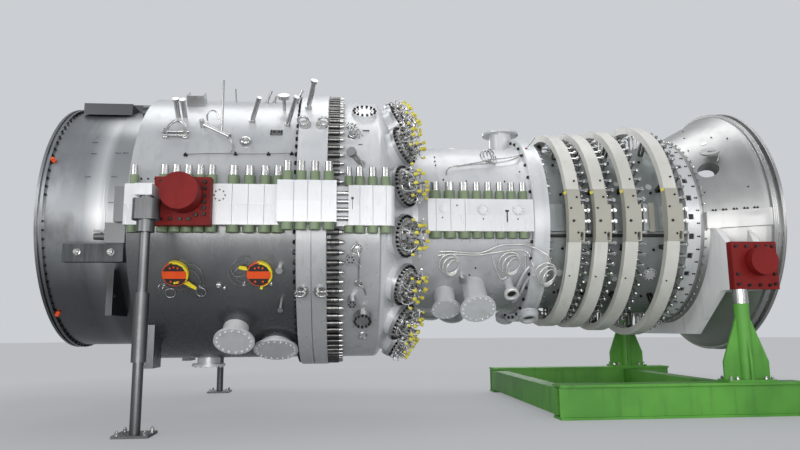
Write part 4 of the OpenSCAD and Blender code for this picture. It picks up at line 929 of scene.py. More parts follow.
# %% Burner stems: collars and unions
COLLAR = template(
    "stem_collar", ([(0, 0), (0.5, 0), (0.5, 0.3), (0.38, 0.42), (0, 0.42)], 12),
    ([(0, 0.4), (0.4, 0.4), (0.4, 0.75), (0.34, 0.82), (0, 0.82)], 6))
UNION = template(
    "stem_union", ([(0, -0.35), (0.42, -0.35), (0.5, -0.28), (0.5, 0.28), (0.42, 0.35), (0, 0.35)], 6))
STEM_CIRCLE = 0.208
stem_angles = [22.5 + 45 * k for k in range(8)]


def on_stems(angles, height, size):
    return [mark(polar(STEM_CIRCLE, a, height), UPRIGHT, size) for a in angles]


unions = on_stems(stem_angles, 0.335, 0.056) + on_stems(stem_angles[::2], 0.44, 0.05)
set_parts("stem_collars", COLLAR, at_burners(on_stems(stem_angles, RING_FACE, 0.062)), BURNER_STEEL, 1.0)
set_parts("stem_unions", UNION, at_burners(unions), MACHINED_STEEL, 1.0)

# %% [markdown]
# Between the stems run short pipes: a ring pipe that feeds all eight, a lower one that feeds the
# pilot, and elbows from the centre fitting. The pipe tree sweeps each from a handful of points.

# %% Burner pipes


def burner_path(seat, turn, points, closed=False):
    """A path from (radius, angle, height) points in a burner's frame."""
    return ([seat + turn @ Vector(polar(*point)) for point in points], closed)


ring_pipes, elbows, leads = [], [], []
for seat, turn in burner_seats:
    for radius, height in ((0.247, 0.385), (0.302, 0.272)):
        ring_pipes.append(burner_path(seat, turn, [(radius, 22.5 * j, height) for j in range(16)], True))
    for a in stem_angles:
        elbows.append(burner_path(seat, turn, [(0.205, a, 0.385), (0.225, a, 0.387), (0.245, a, 0.385)]))
        leads.append(burner_path(seat, turn, [(0.302, a - 14, 0.272), (0.298, a - 12, 0.3),
                                              (0.262, a - 8, 0.318), (0.222, a - 3, 0.32),
                                              (0.206, a, 0.32)]))
    for a in (45, 135, 225, 315):
        leads.append(burner_path(seat, turn, [(0.05, a, 0.31), (0.052, a, 0.36), (0.085, a, 0.40),
                                              (0.14, a, 0.405), (0.2, a, 0.39), (0.243, a, 0.387)]))
    leads.append(burner_path(seat, turn, [(0.3, 200, 0.275), (0.335, 196, 0.29), (0.352, 186, 0.27),
                                          (0.35, 178, 0.225), (0.352, 176, 0.19)]))
set_pipes("burner_ring_pipes", ring_pipes, 0.0085, MACHINED_STEEL, 7, 2)
set_pipes("burner_elbows", elbows, 0.0095, MACHINED_STEEL, 6, 2)
set_pipes("burner_leads", leads, 0.0065, BURNER_STEEL, 6, 3)

# %% [markdown]
# Along the variable vane section every vane stem ends in a nut, and a slim lever runs from it to
# the side of the setting ring, where a small clevis holds it. When the ring turns, the lever's
# ring end goes with it while its stem end stays. These levers stand in for the plain rows of
# the model.

# %% Levers of the vane stems
RING_RADII = [1.950, 1.978, 2.040, 2.136]
RING_EDGES = [far_end(f"vane_ring_{k + 1}") - 0.055 for k in range(4)]
LEVERS, LEVER_REACH, LEVER_DROP = 60, 0.165, 0.095
R_VANE_SMALL, R_VANE_LARGE, LAND_HEIGHT = 1.56, 1.70, 0.0303


def vane_radius(x):
    """The radius of the tapered vane casing at a station."""
    return R_VANE_SMALL + (R_VANE_LARGE - R_VANE_SMALL) * (x - X_VANE) / (X_STRUT - X_VANE)


def lever(arm):
    """A stem with its nut at the origin and a lever along -X, `arm` above the casing."""
    def build(form):
        lathe(form, [(0, 0), (0.038, 0), (0.038, 0.022), (0.030, 0.030), (0.021, 0.034), (0.021, arm),
                     (0, arm)], 12)
        stub(form, 0.034, arm - 0.05, arm - 0.022, 6)
        stub(form, 0.037, arm - 0.026, arm + 0.004, 14)
        lathe(form, [(0, arm), (0.031, arm), (0.031, arm + 0.021), (0.026, arm + 0.025),
                     (0, arm + 0.025)], 6, 0.5)
        stub(form, 0.014, arm + 0.02, arm + 0.03, 8)
        edge = [(0.03, 0.014), (0, 0.03), (-0.03, 0.022), (-0.12, 0.014), (-0.164, 0.017)]
        plate(form, edge[::-1] + [(x, -y) for x, y in edge], arm - 0.019, arm - 0.002)
        for near, far, low, high in ((-0.1705, -0.132, -0.027, -0.017), (-0.1705, -0.132, 0.017, 0.027),
                                     (-0.1705, -0.1625, -0.027, 0.027)):
            plate(form, [(near, low), (far, low), (far, high), (near, high)], arm - 0.03, arm + 0.008)
    return build


for ring, (edge, radius) in enumerate(zip(RING_EDGES, RING_RADII), 1):
    stem = edge + 0.006 + LEVER_REACH
    land = vane_radius(stem) + LAND_HEIGHT
    shape = shape_of(f"lever_of_ring_{ring}", lever(radius - LEVER_DROP - land))
    marks = [on_barrel(stem, 360 * (j + 0.5) / LEVERS, land, 1.0) for j in range(LEVERS)]
    levers = set_parts(f"detailed_levers_{ring}", shape, marks, MACHINED_STEEL, body=None)
    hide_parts(f"vane_levers_{ring}")
    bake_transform(levers)

# %% [markdown]
# The setting rings are bolted together at the joint plane, slide on pads, and carry small yellow
# number tags on wires, left blank here. Their dowels and bolt heads are dark dots in the cream
# paint.

# %% Dots, tags and bolts on the setting rings


def blank_tag(form):
    plate(form, [(-0.04, -0.032), (0.04, -0.032), (0.04, 0.032), (-0.04, 0.032)], 0.004, 0.008)
    stub(form, 0.008, 0, 0.014, 8, 0, (0, 0.022))


TAG = shape_of("blank_tag", blank_tag)
CLAMP_DOTS = ((0.05, 9.3, 0.03), (-0.07, 3.4, 0.03), (-0.03, -3.2, 0.04), (0.05, -9.3, 0.03))
for ring, (edge, radius) in enumerate(zip(RING_EDGES, RING_RADII), 1):
    body = f"setting_ring_{ring}"
    middle = edge - 0.1175
    dots = [on_barrel(middle + dx, angle, radius + 0.022, size) for dx, angle, size in CLAMP_DOTS]
    dots += [on_barrel(edge - 0.07, 19, radius, 0.03), on_barrel(edge - 0.16, -33, radius, 0.024)]
    side = ring_of(30, edge + 0.0002, radius - 0.045, 0.022, 90, 0.5, 14)
    set_parts(f"ring_{ring}_bolts", HEX_BOLT, both_sides(dots) + side, DARK_BOLT, 1.0, body)
    tags = both_sides([on_barrel(edge - 0.245, 12.4, radius - 0.03, 0.9, -52, 8)])
    set_parts(f"ring_{ring}_tags", TAG, tags, YELLOW_PLASTIC, 0.0, body)

# %% [markdown]
# The big flanges are held by rings of bolts. The middle flange has a ring of dark bolt heads on
# its exhaust side and long studs on its inlet side. The compressor flange has bolts on both
# faces, and the exhaust and inlet rims have their own rows. The model carries the thick studs, so
# here they get long nuts like sleeves and their turned-down tips.

# %% Rings of bolts on the big flanges
STUDS, STUD_CIRCLE, STUD_LENGTH = 96, 2.57, 0.25
RIM_X = X_END - 0.23

dark_heads = clear_of_joint(ring_of(STUDS, X_BAND - 0.0002, STUD_CIRCLE, 0.066, -90), JOINT_HEIGHT + 0.06)
dark_heads += clear_of_joint(ring_of(36, X_END_FLANGE - 0.0002, 1.775, 0.052, -90), 0.34)
dark_heads += ring_of(96, X_START + 0.119, 2.2525, 0.032, 90, 0.5, 3)
set_parts("flange_bolt_heads", HEX_BOLT, dark_heads, DARK_BOLT, 1.0)

STUD_TIP = template(
    "stud_tip", ([(0, 0), (0.5, 0), (0.43, 0.12), (0.43, 0.3), (0.34, 0.36), (0, 0.36)], 14))
STUD_NUT = template("stud_nut", ([(0, 0), (0.86, 0), (0.86, 0.1), (0, 0.1)], 16),
                    ([(0, 0.08), (0.7, 0.08), (0.7, 2.55), (0.6, 2.68), (0, 2.68)], 14))
stud_ring = ring_of(STUDS, X_COMBUSTOR + 0.0003, STUD_CIRCLE, 0.076, 90)
stud_feet = clear_of_joint(stud_ring, JOINT_HEIGHT + 0.076)
stud_tips = [mark(place + Vector((STUD_LENGTH, 0, 0)), turn.to_matrix(), size)
             for place, turn, size in stud_feet]
set_parts("middle_stud_nuts", STUD_NUT, stud_feet, BURNER_STEEL, 1.0)
set_parts("middle_stud_tips", STUD_TIP, stud_tips, MACHINED_STEEL)

bright_nuts = clear_of_joint(ring_of(64, X_END_FLANGE + 0.3102, 1.735, 0.06, 90), 0.33)
bright_nuts += ring_of(72, X_BELL + 0.0602, R_STRUT - 0.055 + 0.09, 0.03, 90, 0.5, 6)
bright_nuts += ring_of(60, RIM_X + 0.0902, R_RIM - 0.04, 0.03, 90, 0.5, 4)
set_parts("bright_flange_nuts", NUT_ON_STUD, bright_nuts, MACHINED_STEEL, 1.0)

# %% [markdown]
# Covers and nozzles are closed by bolt circles, each on its own round flange: a station, an
# angle and a height, then the circle's radius, the number of bolts and their size.

# %% Bolt circles on covers, nozzles and blocks
TOP_NOZZLE_X = X_END_FLANGE - 0.11
MAIN_NOZZLE = (X_COMPRESSOR + 1.165, -47, R_COMPRESSOR + 0.6102)
LEFT_NOZZLE = (X_COMPRESSOR + 0.64, -54, R_COMPRESSOR + 0.3902)
STUB_NOZZLE = (X_COMPRESSOR + 1.81, -44, R_COMPRESSOR + 0.2902)
END_STUB = (X_END_FLANGE + 0.09, -62, 1.86 + 0.1202)
COVER_X, COVER_ANGLE, COVER_TOP = (X_TURBINE + 0.76, X_TURBINE + 2.1), -25, R_TURBINE + 0.0902
nozzle_bolts = both_sides(
    flange_circle(X_TURBINE + 1.64, -51, R_TURBINE + 0.3102, 0.285, 16, 0.036)
    + flange_circle(X_BAND - 0.405, -63, R_TURBINE + 0.1302, 0.335, 20, 0.034)
    + flange_circle(*MAIN_NOZZLE, 0.272, 16, 0.034) + flange_circle(*LEFT_NOZZLE, 0.235, 14, 0.03)
    + flange_circle(*END_STUB, 0.165, 10, 0.034))
nozzle_bolts += flange_circle(TOP_NOZZLE_X, 90, R_COMPRESSOR + 0.4002, 0.325, 20, 0.034)
nozzle_bolts += flange_circle(X_TURBINE + 0.9, -90, R_TURBINE + 0.1602, 0.27, 16, 0.034)
set_parts("nozzle_bolts", HEX_BOLT, nozzle_bolts, FLANGE_PAINT, 1.0)

cover_bolts = []
for dx, angle, rise, radius, count, size in (
        (0.64, 48, 0.0702, 0.196, 14, 0.04), (0.6, -44, 0.1702, 0.13, 12, 0.034),
        (0.39, -19, 0.1902, 0.05, 6, 0.022), (0.42, -36, 0.1902, 0.05, 6, 0.022),
        (0.4, 38, 0.0402, 0.075, 8, 0.018)):
    cover_bolts += flange_circle(X_COMBUSTOR + dx, angle, R_TURBINE + rise, radius, count, size)
for x in COVER_X:
    cover_bolts += flange_circle(x, COVER_ANGLE, COVER_TOP, 0.172, 12, 0.026, 15)
set_parts("cover_bolts", HEX_BOLT, both_sides(cover_bolts), DARK_BOLT, 1.0)

TRUNNION_FACE, INLET_BLOCK_FACE = JOINT_FACE + 0.2004, 2.4804
block_spots = [(-3.545, z) for z in (0.31, 0.21, 0.086, -0.01, -0.104, -0.2)]
block_spots += [(-3.661, -0.216), (-3.765, -0.279), (-3.901, -0.28), (-4.05, -0.28), (-4.2, -0.28)]
block_spots += [(x, 0.31) for x in (-3.7, -4.0, -4.2)]
inlet_spots = [(x, z) for z in (-0.62, -1.1, -1.27) for x in (X_BELL + 0.14 + 0.08, X_BELL + 0.95 - 0.07)]
inlet_spots += [(x, z) for z in (-0.62, -1.29) for x in (5.53, 5.72, 5.9)]
block_bolts = [on_side(x, TRUNNION_FACE, z, 0.062) for x, z in block_spots]
block_bolts += [on_side(x, INLET_BLOCK_FACE, z, 0.056) for x, z in inlet_spots]
set_parts("lifting_block_bolts", SOCKET_BOLT, both_sides(block_bolts), DARK_BOLT)

joint_dots = circle_of((-3.35, -JOINT_FACE - 0.0002, SHAFT + 0.143), stance(0), 0.085, 8, 0.024)
joint_dots += [on_side(-4.42 + 0.1 * k, 3.2004, z, 0.03) for k in range(3) for z in (0.12, 0.28)]
set_parts("joint_face_dots", SOCKET_BOLT, both_sides(joint_dots), DARK_BOLT)

# %% [markdown]
# The bell's split flange, the cradle, the pedestals and the base have ordinary structural bolts.
# They stand where a fitter would need them: close to an edge, in pairs, clear of the webs.

# %% Structural bolts on the bell, the stands and the base


def split_edge(x):
    """How far the bell's split flange reaches out at a station."""
    return 1.94 + 0.48 * (x - 5.1826) / 0.88


split_bolts = [on_top(x + dx, split_edge(x) - 0.055, 0.0752, 0.036)
               for x in (5.32, 5.47, 5.62, 5.77, 5.91) for dx in (-0.028, 0.028)]
set_parts("bell_split_bolts", NUT_ON_STUD, both_sides(split_bolts), DARK_BOLT, 1.0)

strut_bolts = ring_of(48, X_STRUT + 0.185, R_STRUT + 0.0002, 0.022)
strut_bolts += ring_of(48, X_BELL - 0.03, R_STRUT + 0.0002, 0.024)
set_parts("strut_casing_bolts", HEX_BOLT, strut_bolts, DARK_BOLT, 1.0)

POST_X, POST_Y, BEAM_TOP = X_BELL + 0.27, 2.405, 0.55
FOOT_X, FOOT_Y = X_TURBINE + 0.545, -JOINT_FACE - 0.6
base_bolts = [mark((POST_X + x, -POST_Y + y, BEAM_TOP + 0.0405), stance(90), 0.046)
              for x in (-0.36, -0.25, 0.25, 0.36) for y in (-0.14, 0.14)]
base_bolts += [mark((FOOT_X + x, FOOT_Y + y, 0.0402), stance(90), 0.05)
               for x in (-0.19, 0.19) for y in (-0.19, 0.19)]
set_parts("stand_bolts", NUT_ON_STUD, both_sides(base_bolts), MACHINED_STEEL, 1.0)

# %% [markdown]
# Smaller things sit all over the turbine casing: a signal line held by clips, a lifting shackle,
# an instrument plate, weld studs and pads. The lines are paths a few centimetres above the
# barrel, given as station, angle and height.

# %% Fittings of the turbine casing
CLIP = blocks("line_clip", [((-0.034, -0.022, 0), (0.034, 0.022, 0.014)),
                            ((-0.016, -0.03, 0.01), (0.016, 0.03, 0.042))])
LINE_HEIGHT = 0.032
line = [(-3.99, 20.6), (-3.6, 21.1), (-3.179, 21.3), (-2.9, 21.2), (-2.638, 21.5), (-2.254, 21.8)]
clips = [on_barrel(x, a, R_TURBINE, 1.0) for x, a in (line[0], line[2], line[4], line[5])]
set_parts("signal_line_clips", CLIP, both_sides(clips), DARK_BOLT)
signal = [on_turbine(*((x, a, LINE_HEIGHT) for x, a in line)),
          on_turbine((-3.179, 21.3, 0.032), (-3.24, 24.4, 0.02), (-3.27, 27, 0.05), (-3.33, 29.0, 0.09)),
          on_turbine((-3.27, 21.3, 0.032), (-3.22, 24.4, 0.02), (-3.25, 27, 0.05))]
set_pipes("signal_lines", mirrored(signal), 0.0065, MACHINED_STEEL, 6)

shackle_feet = [on_barrel(x, 29.6, R_TURBINE, 0.105) for x in (-4.37, -4.05)]
set_parts("shackle_feet", DOMED_BOSS, both_sides(shackle_feet), MACHINED_STEEL)
shackles = [on_turbine((-4.39, 29.6, 0.05), (-4.2, 29.6, 0.05), (-4.03, 29.6, 0.05)),
            on_turbine((-4.34, 29.8, 0.06), (-4.335, 32.4, 0.1), (-4.27, 34.6, 0.13), (-4.19, 35.4, 0.14),
                       (-4.1, 34.4, 0.13), (-4.05, 32.2, 0.1), (-4.06, 29.8, 0.06))]
set_pipes("lifting_shackles", mirrored(shackles), 0.024, MACHINED_STEEL, 10)
handles = [on_turbine((-3.74, 39.6, 0.02), (-3.735, 40.6, 0.13), (-3.66, 41.4, 0.18), (-3.58, 40.8, 0.16),
                      (-3.53, 39.0, 0.04))]
set_pipes("stub_handles", mirrored(handles), 0.015, MACHINED_STEEL, 8)

bosses = [on_barrel(x, a, R_TURBINE, size) for x, a, size in (
    (-3.037, 27.4, 0.2), (-3.41, -30.1, 0.105), (-3.322, -31.2, 0.06), (-2.565, -29.5, 0.07))]
set_parts("turbine_bosses", DOMED_BOSS, both_sides(bosses), MACHINED_STEEL)
boss_bolts = flange_circle(-3.037, 27.4, R_TURBINE + 0.032, 0.082, 8, 0.022)
plate_bolts = [on_barrel(-2.539 + dx, 33 + da, R_TURBINE + 0.0142, 0.02)
               for dx in (-0.088, 0.088) for da in (-1.0, 1.0)]
set_parts("boss_bolts", HEX_BOLT, both_sides(boss_bolts + plate_bolts), DARK_BOLT, 1.0)
INSTRUMENT_PLATE = blocks("instrument_plate", [((-0.105, -0.065, 0), (0.105, 0.065, 0.014)),
                                               ((-0.075, -0.04, 0.012), (-0.01, 0.03, 0.03)),
                                               ((0.015, -0.04, 0.012), (0.08, 0.03, 0.03))])
plates = both_sides([on_barrel(-2.539, 33, R_TURBINE, 1.0)])
set_parts("instrument_plates", INSTRUMENT_PLATE, plates, STAND_STEEL)
plate_sockets = [on_barrel(x, 33, R_TURBINE + 0.03, 0.042) for x in (-2.58, -2.492)]
set_parts("plate_sockets", SOCKET_BOLT, both_sides(plate_sockets), INNER_STEEL)

# %% [markdown]
# The access covers are guarded for transport. Each has a black cushion with an orange bar across
# it, yellow tape round one side of the rim with a loose tail, and a few steel rings and wire
# loops to hang it by. The tape is modelled as short flat pieces that follow the rim.

# %% Guards on the orange covers
cover_seats = both_sides([on_barrel(x, COVER_ANGLE, COVER_TOP, 1.0) for x in COVER_X])


def sector(form, inner, outer, start, end, low, high, steps):
    """A flat arc between two radii and two angles."""
    turn = [math.radians(start + (end - start) * k / steps) for k in range(steps + 1)]
    edge = [(outer * math.cos(a), outer * math.sin(a)) for a in turn]
    edge += [(inner * math.cos(a), inner * math.sin(a)) for a in reversed(turn)]
    plate(form, edge, low, high)


def cushion(form):
    lathe(form, [(0, 0), (0.185, 0), (0.185, 0.012), (0.175, 0.02), (0, 0.02)], 40)


def orange_bars(form):
    plate(form, [(-0.178, -0.062), (0.178, -0.062), (0.188, 0), (0.178, 0.062), (-0.178, 0.062),
                 (-0.188, 0)], 0.016, 0.03)
    for angle in (62, 90, 118, -62, -118):
        stub(form, 0.017, 0.016, 0.03, 10, 0, polar(0.13, angle))


def tape(form):
    sector(form, 0.203, 0.214, -38, 112, -0.075, 0.012, 26)
    sector(form, 0.165, 0.214, -20, 96, 0.008, 0.016, 22)
    plate(form, [(0.12, -0.17), (0.2, -0.13), (0.33, -0.235), (0.31, -0.28), (0.27, -0.262)],
          -0.045, -0.036)
    for angle in (-90, -72):
        stub(form, 0.02, 0.016, 0.03, 10, 0, polar(0.135, angle))


def tape_with_left_tail(form):
    sector(form, 0.203, 0.214, -78, 96, -0.075, 0.012, 26)
    sector(form, 0.165, 0.214, -40, 88, 0.008, 0.016, 22)
    plate(form, [(-0.18, 0.06), (-0.205, 0.125), (-0.31, 0.14), (-0.34, 0.1), (-0.27, 0.07)], -0.03, -0.021)
    plate(form, [(0.02, -0.19), (0.06, -0.185), (0.045, -0.27), (0.0, -0.26)], -0.03, -0.021)


set_parts("cover_cushions", shape_of("cover_cushion", cushion), cover_seats, BLACK_RUBBER_AND_PAINTED_SHADE)
set_parts("cover_bars", shape_of("cover_bar", orange_bars), cover_seats, ORANGE_PAINT)
set_parts("cover_tapes", shape_of("cover_tape", tape), cover_seats[::2], TAPE_YELLOW)
set_parts("cover_tapes_2", shape_of("cover_tape_2", tape_with_left_tail), cover_seats[1::2], TAPE_YELLOW)
hangers = [hoop(around(x, angle, R_TURBINE + 0.03), stance(facing, lean), radius)
           for x, angle, facing, lean, radius in ((-4.19, -33.0, -33, 8, 0.082),
                                                  (-3.70, -32.6, -32, -6, 0.08),
                                                  (-4.33, -30.5, -30, 50, 0.05))]
set_pipes("cover_rings", mirrored(hangers), 0.0075, MACHINED_STEEL, 8, 2)
wires = [on_turbine((-3.93, -22.0, 0.04), (-3.86, -21.4, 0.05), (-3.74, -22.4, 0.03), (-3.66, -25, 0.04),
                    (-3.645, -29, 0.02), (-3.69, -30.9, 0.03)),
         on_turbine((-3.9, -23.4, 0.05), (-3.78, -24.6, 0.02), (-3.7, -27.5, 0.05), (-3.69, -30.9, 0.03)),
         on_turbine((-4.26, -30.2, 0.03), (-4.12, -31.6, 0.05), (-3.95, -31.0, 0.02), (-3.82, -30.3, 0.05),
                    (-3.76, -31.2, 0.03)),
         on_turbine((-2.87, -19.3, 0.04), (-2.95, -18.6, 0.05), (-3.06, -19.2, 0.03), (-3.17, -21.6, 0.04),
                    (-3.24, -24.6, 0.03), (-3.18, -28.2, 0.05), (-3.05, -30.2, 0.03), (-2.94, -29.4, 0.04)),
         on_turbine((-2.91, -20.6, 0.05), (-3.05, -22.3, 0.02), (-3.15, -25.0, 0.05), (-3.12, -27.6, 0.02),
                    (-3.0, -28.6, 0.05)),
         on_turbine((-2.97, -19.6, 0.03), (-3.1, -21.0, 0.05), (-3.2, -23.2, 0.02), (-3.13, -26.2, 0.04),
                    (-2.98, -25.6, 0.03))]
set_pipes("cover_wires", mirrored(wires), 0.0055, MACHINED_STEEL, 6)
latches = [on_barrel(-3.0, -29.3, R_TURBINE, 0.07, 0, 20), on_barrel(-2.93, -25.4, R_TURBINE, 0.05),
           on_barrel(-4.28, -29.7, R_TURBINE, 0.05), on_barrel(-3.72, -30.6, R_TURBINE, 0.045)]
set_parts("cover_latches", PIPE_END, both_sides(latches), MACHINED_STEEL)

# %% [markdown]
# The exhaust casing is rolled from plate, so it is nearly bare: short weld studs that once held
# insulation, two bolts on the side ledge, a pair of small pads and orange plugs beside the rim.

# %% Studs, plugs and pads of the exhaust casing


def weld_stud(x, angle, radius):
    """A short rod that lies on the casing along the shaft, a little bent."""
    return ([around(x + dx, angle, radius + height)
             for dx, height in ((-0.045, 0.012), (0, 0.014), (0.045, 0.012))], False)


weld_studs = [weld_stud(x, a, R_EXHAUST) for x, a in ((-5.583, 26.0), (-5.62, 33), (-5.6, 14))]
weld_studs += [weld_stud(x, a, R_EXHAUST + 0.022)
               for x, a in ((-5.18, 26.1), (-5.06, 26.2), (-5.17, 14), (-5.16, 2.3))]
set_pipes("weld_studs", mirrored(weld_studs), 0.008, MACHINED_STEEL, 6, 2)
ledge_bolts = [on_side(x, R_EXHAUST + 0.0302, z, 0.085) for x, z in ((-5.649, -0.724), (-5.12, -0.723))]
set_parts("ledge_bolts", NUT_ON_STUD, both_sides(ledge_bolts), MACHINED_STEEL, 1.0)
PAD = blocks("exhaust_pad", [((-0.085, 0.012, -0.01), (0.085, 0.05, 0.05)),
                             ((-0.085, -0.05, -0.01), (0.06, -0.012, 0.04)),
                             ((-0.01, -0.04, 0), (0.03, 0.04, 0.03))])
rim_plugs = [on_barrel(X_START + 0.16, angle, R_EXHAUST, 0.085) for angle in (21.8, -48.6)]
set_parts("rim_plugs", COLLAR, both_sides(rim_plugs), ORANGE_PAINT)
set_parts("exhaust_pads", PAD, both_sides([on_barrel(-5.33, -10.3, R_EXHAUST, 1.0)]), MACHINED_STEEL)

# %% [markdown]
# The combustor casing carries small instrument fittings between its flange and the shoulder. A
# slot mark and a dark square show where the joint was measured.

# %% Fittings of the combustor casing
DISC = template("instrument_disc", ([(0, 0), (0.5, 0), (0.5, 0.1), (0.46, 0.14), (0.3, 0.14), (0.28, 0.2),
                                     (0.12, 0.22), (0.12, 0.4), (0, 0.4)], 20))
discs = [on_barrel(-1.155, -15.6, R_TURBINE, 0.17), on_barrel(-1.127, -29.4, R_TURBINE, 0.13),
         on_barrel(-1.243, 31.4, R_TURBINE, 0.15), on_barrel(-1.241, 38.5, R_TURBINE + 0.0402, 0.12)]
set_parts("instrument_discs", DISC, both_sides(discs), MACHINED_STEEL)
disc_dots = []
for x, angle, rise, radius in ((-1.155, -15.6, 0.0172, 0.064), (-1.243, 31.4, 0.0152, 0.057),
                               (-1.013, 48, 0.0702, 0.13)):
    disc_dots += flange_circle(x, angle, R_TURBINE + rise, radius, 10, 0.018)
set_parts("disc_bolts", HEX_BOLT, both_sides(disc_dots), DARK_BOLT, 1.0)
SHORT_BAR = blocks("short_bar", [((-0.06, -0.011, 0), (0.06, 0.011, 0.016))])
SQUARE_MARK = blocks("square_mark", [((-0.02, -0.02, 0), (0.02, 0.02, 0.006)),
                                     ((-0.004, -0.18, 0), (0.004, -0.02, 0.004))], 0.001)
set_parts("joint_marks", SQUARE_MARK, both_sides([on_side(-1.238, JOINT_FACE, 0.112, 1.0)]), BLACK_RUBBER_AND_PAINTED_SHADE)
bars = [on_barrel(-0.997, 35.3, R_TURBINE, 1.0), on_barrel(-1.1, 27.2, R_TURBINE, 0.6)]
set_parts("combustor_bars", SHORT_BAR, both_sides(bars), DARK_BOLT)
lines = [on_turbine((-1.155, -15.6, 0.05), (-1.12, -19.0, 0.09), (-1.13, -24, 0.04), (-1.127, -29.4, 0.05)),
         on_turbine((-1.155, -13.0, 0.02), (-1.25, -16, 0.05), (-1.2, -20, 0.02), (-1.09, -22.5, 0.04)),
         on_turbine((-1.127, -29.4, 0.05), (-1.04, -31.0, 0.06), (-1.0, -34.2, 0.02)),
         on_turbine((-1.243, 31.4, 0.06), (-1.19, 33.2, 0.1), (-1.13, 32.2, 0.08), (-1.12, 29.9, 0.03)),
         on_turbine((-1.3, 33.6, 0.02), (-1.22, 34.4, 0.07), (-1.12, 33.4, 0.09), (-1.06, 31.2, 0.03))]
set_pipes("combustor_lines", mirrored(lines), 0.012, MACHINED_STEEL)
coils = [hoop(around(-1.24 + 0.012 * k, 31.4 + 0.5 * k, R_TURBINE + 0.03 + 0.02 * k), stance(31, 12 * k),
              0.075 + 0.006 * k) for k in range(3)]
coils += [hoop(around(-1.046, -49.7, R_TURBINE + 0.22 + 0.02 * k), stance(-49, 8 * k), 0.06 + 0.01 * k)
          for k in range(3)]
set_pipes("combustor_coils", mirrored(coils), 0.006, MACHINED_STEEL, 6, 2)

# %% [markdown]
# Thin instrument pipes run over the compressor casing: one over the top towards the end flange,
# and a bundle below the joint with loops that take up its length. They are stiff tubes fixed at
# both ends. A band of red tape marks the upper one.

# %% Instrument pipes of the compressor casing
upper_pipes = [on_compressor((0.496, 28.5, 0.03), (0.52, 31.8, 0.06), (0.589, 34.8, 0.06),
                             (0.823, 37, 0.06), (1.177, 39.9, 0.07), (1.4, 41.6, 0.1),
                             (1.674, 43.2, 0.1), (1.992, 46.9, 0.12), (2.12, 49.6, 0.24),
                             (2.28, 54.5, 0.36)),
               on_compressor((0.72, 36.2, 0.04), (0.9, 37.2, 0.05), (1.2, 38.8, 0.05), (1.5, 40.3, 0.05),
                             (1.8, 43.2, 0.06), (2.0, 48.4, 0.08), (2.05, 52, 0.1))]
for tilt, size in ((0, 0.13), (14, 0.15), (-12, 0.12)):
    centre = around(1.34 + tilt * 0.004, 43.6, R_COMPRESSOR + 0.12)
    upper_pipes.append(hoop(centre, stance(20, 30 + tilt), size))
lower_pipes = [on_compressor((0.33, -21.6, 0.05), (0.53, -21.3, 0.07), (0.987, -22.4, 0.06),
                             (1.168, -21.2, 0.07), (1.438, -17.4, 0.08), (1.805, -16.7, 0.09),
                             (1.98, -17.4, 0.3), (2.2, -20.7, 0.42), (2.28, -25.5, 0.36)),
               on_compressor((0.3, -24.2, 0.03), (0.62, -23.0, 0.05), (1.0, -23.8, 0.04),
                             (1.35, -22.0, 0.05), (1.72, -20.4, 0.05), (1.94, -22, 0.05),
                             (2.02, -28.5, 0.24)),
               on_compressor((1.3, -25.2, 0.04), (1.36, -30.5, 0.06), (1.44, -36.5, 0.05),
                             (1.50, -39.5, 0.07), (1.6, -38.6, 0.05), (1.625, -33, 0.05)),
               on_compressor((1.9, -24, 0.05), (1.93, -32, 0.06), (1.9, -40, 0.05), (1.86, -47, 0.08))]
for x, angle, height, size in ((0.523, -29.4, 0.05, 0.19), (1.625, -28.7, 0.05, 0.205),
                               (2.208, -30.7, 0.36, 0.2)):
    for k in range(3):
        centre = around(x + 0.03 * k, angle - k, R_COMPRESSOR + height + 0.02 * k)
        lower_pipes.append(hoop(centre, stance(angle, 6 + 14 * k), size - 0.02 * k))
set_pipes("compressor_upper_pipes", mirrored(upper_pipes), 0.013, MACHINED_STEEL)
set_pipes("compressor_lower_pipes", mirrored(lower_pipes), 0.015, BRIGHT_NUT)
drop_pipes = [on_compressor((2.1, -33, 0.33), (2.02, -36, 0.16), (1.97, -41, 0.1), (1.92, -48, 0.1),
                            (1.87, -56, 0.1), (1.84, -62, 0.04)),
              on_compressor((2.0, -31, 0.05), (1.9, -36, 0.08), (1.84, -43, 0.08), (1.79, -51, 0.08),
                            (1.76, -59, 0.03))]
set_pipes("compressor_drop_pipes", mirrored(drop_pipes), 0.024, FLANGE_PAINT, 10)
tapes = [on_compressor((2.02, 47.4, 0.14), (2.06, 48.3, 0.18), (2.1, 49.2, 0.22))]
set_pipes("red_pipe_tape", mirrored(tapes), 0.019, RED_PAINT, 10, 2)

# %% [markdown]
# Round covers with eight bolts close the inspection ports in the joint flange. Under each is a
# dark dowel, and a T-shaped slot takes a measuring tool; the slot's depth is drawn as a flat black
# T of painted shade. Two low bosses stand on top.

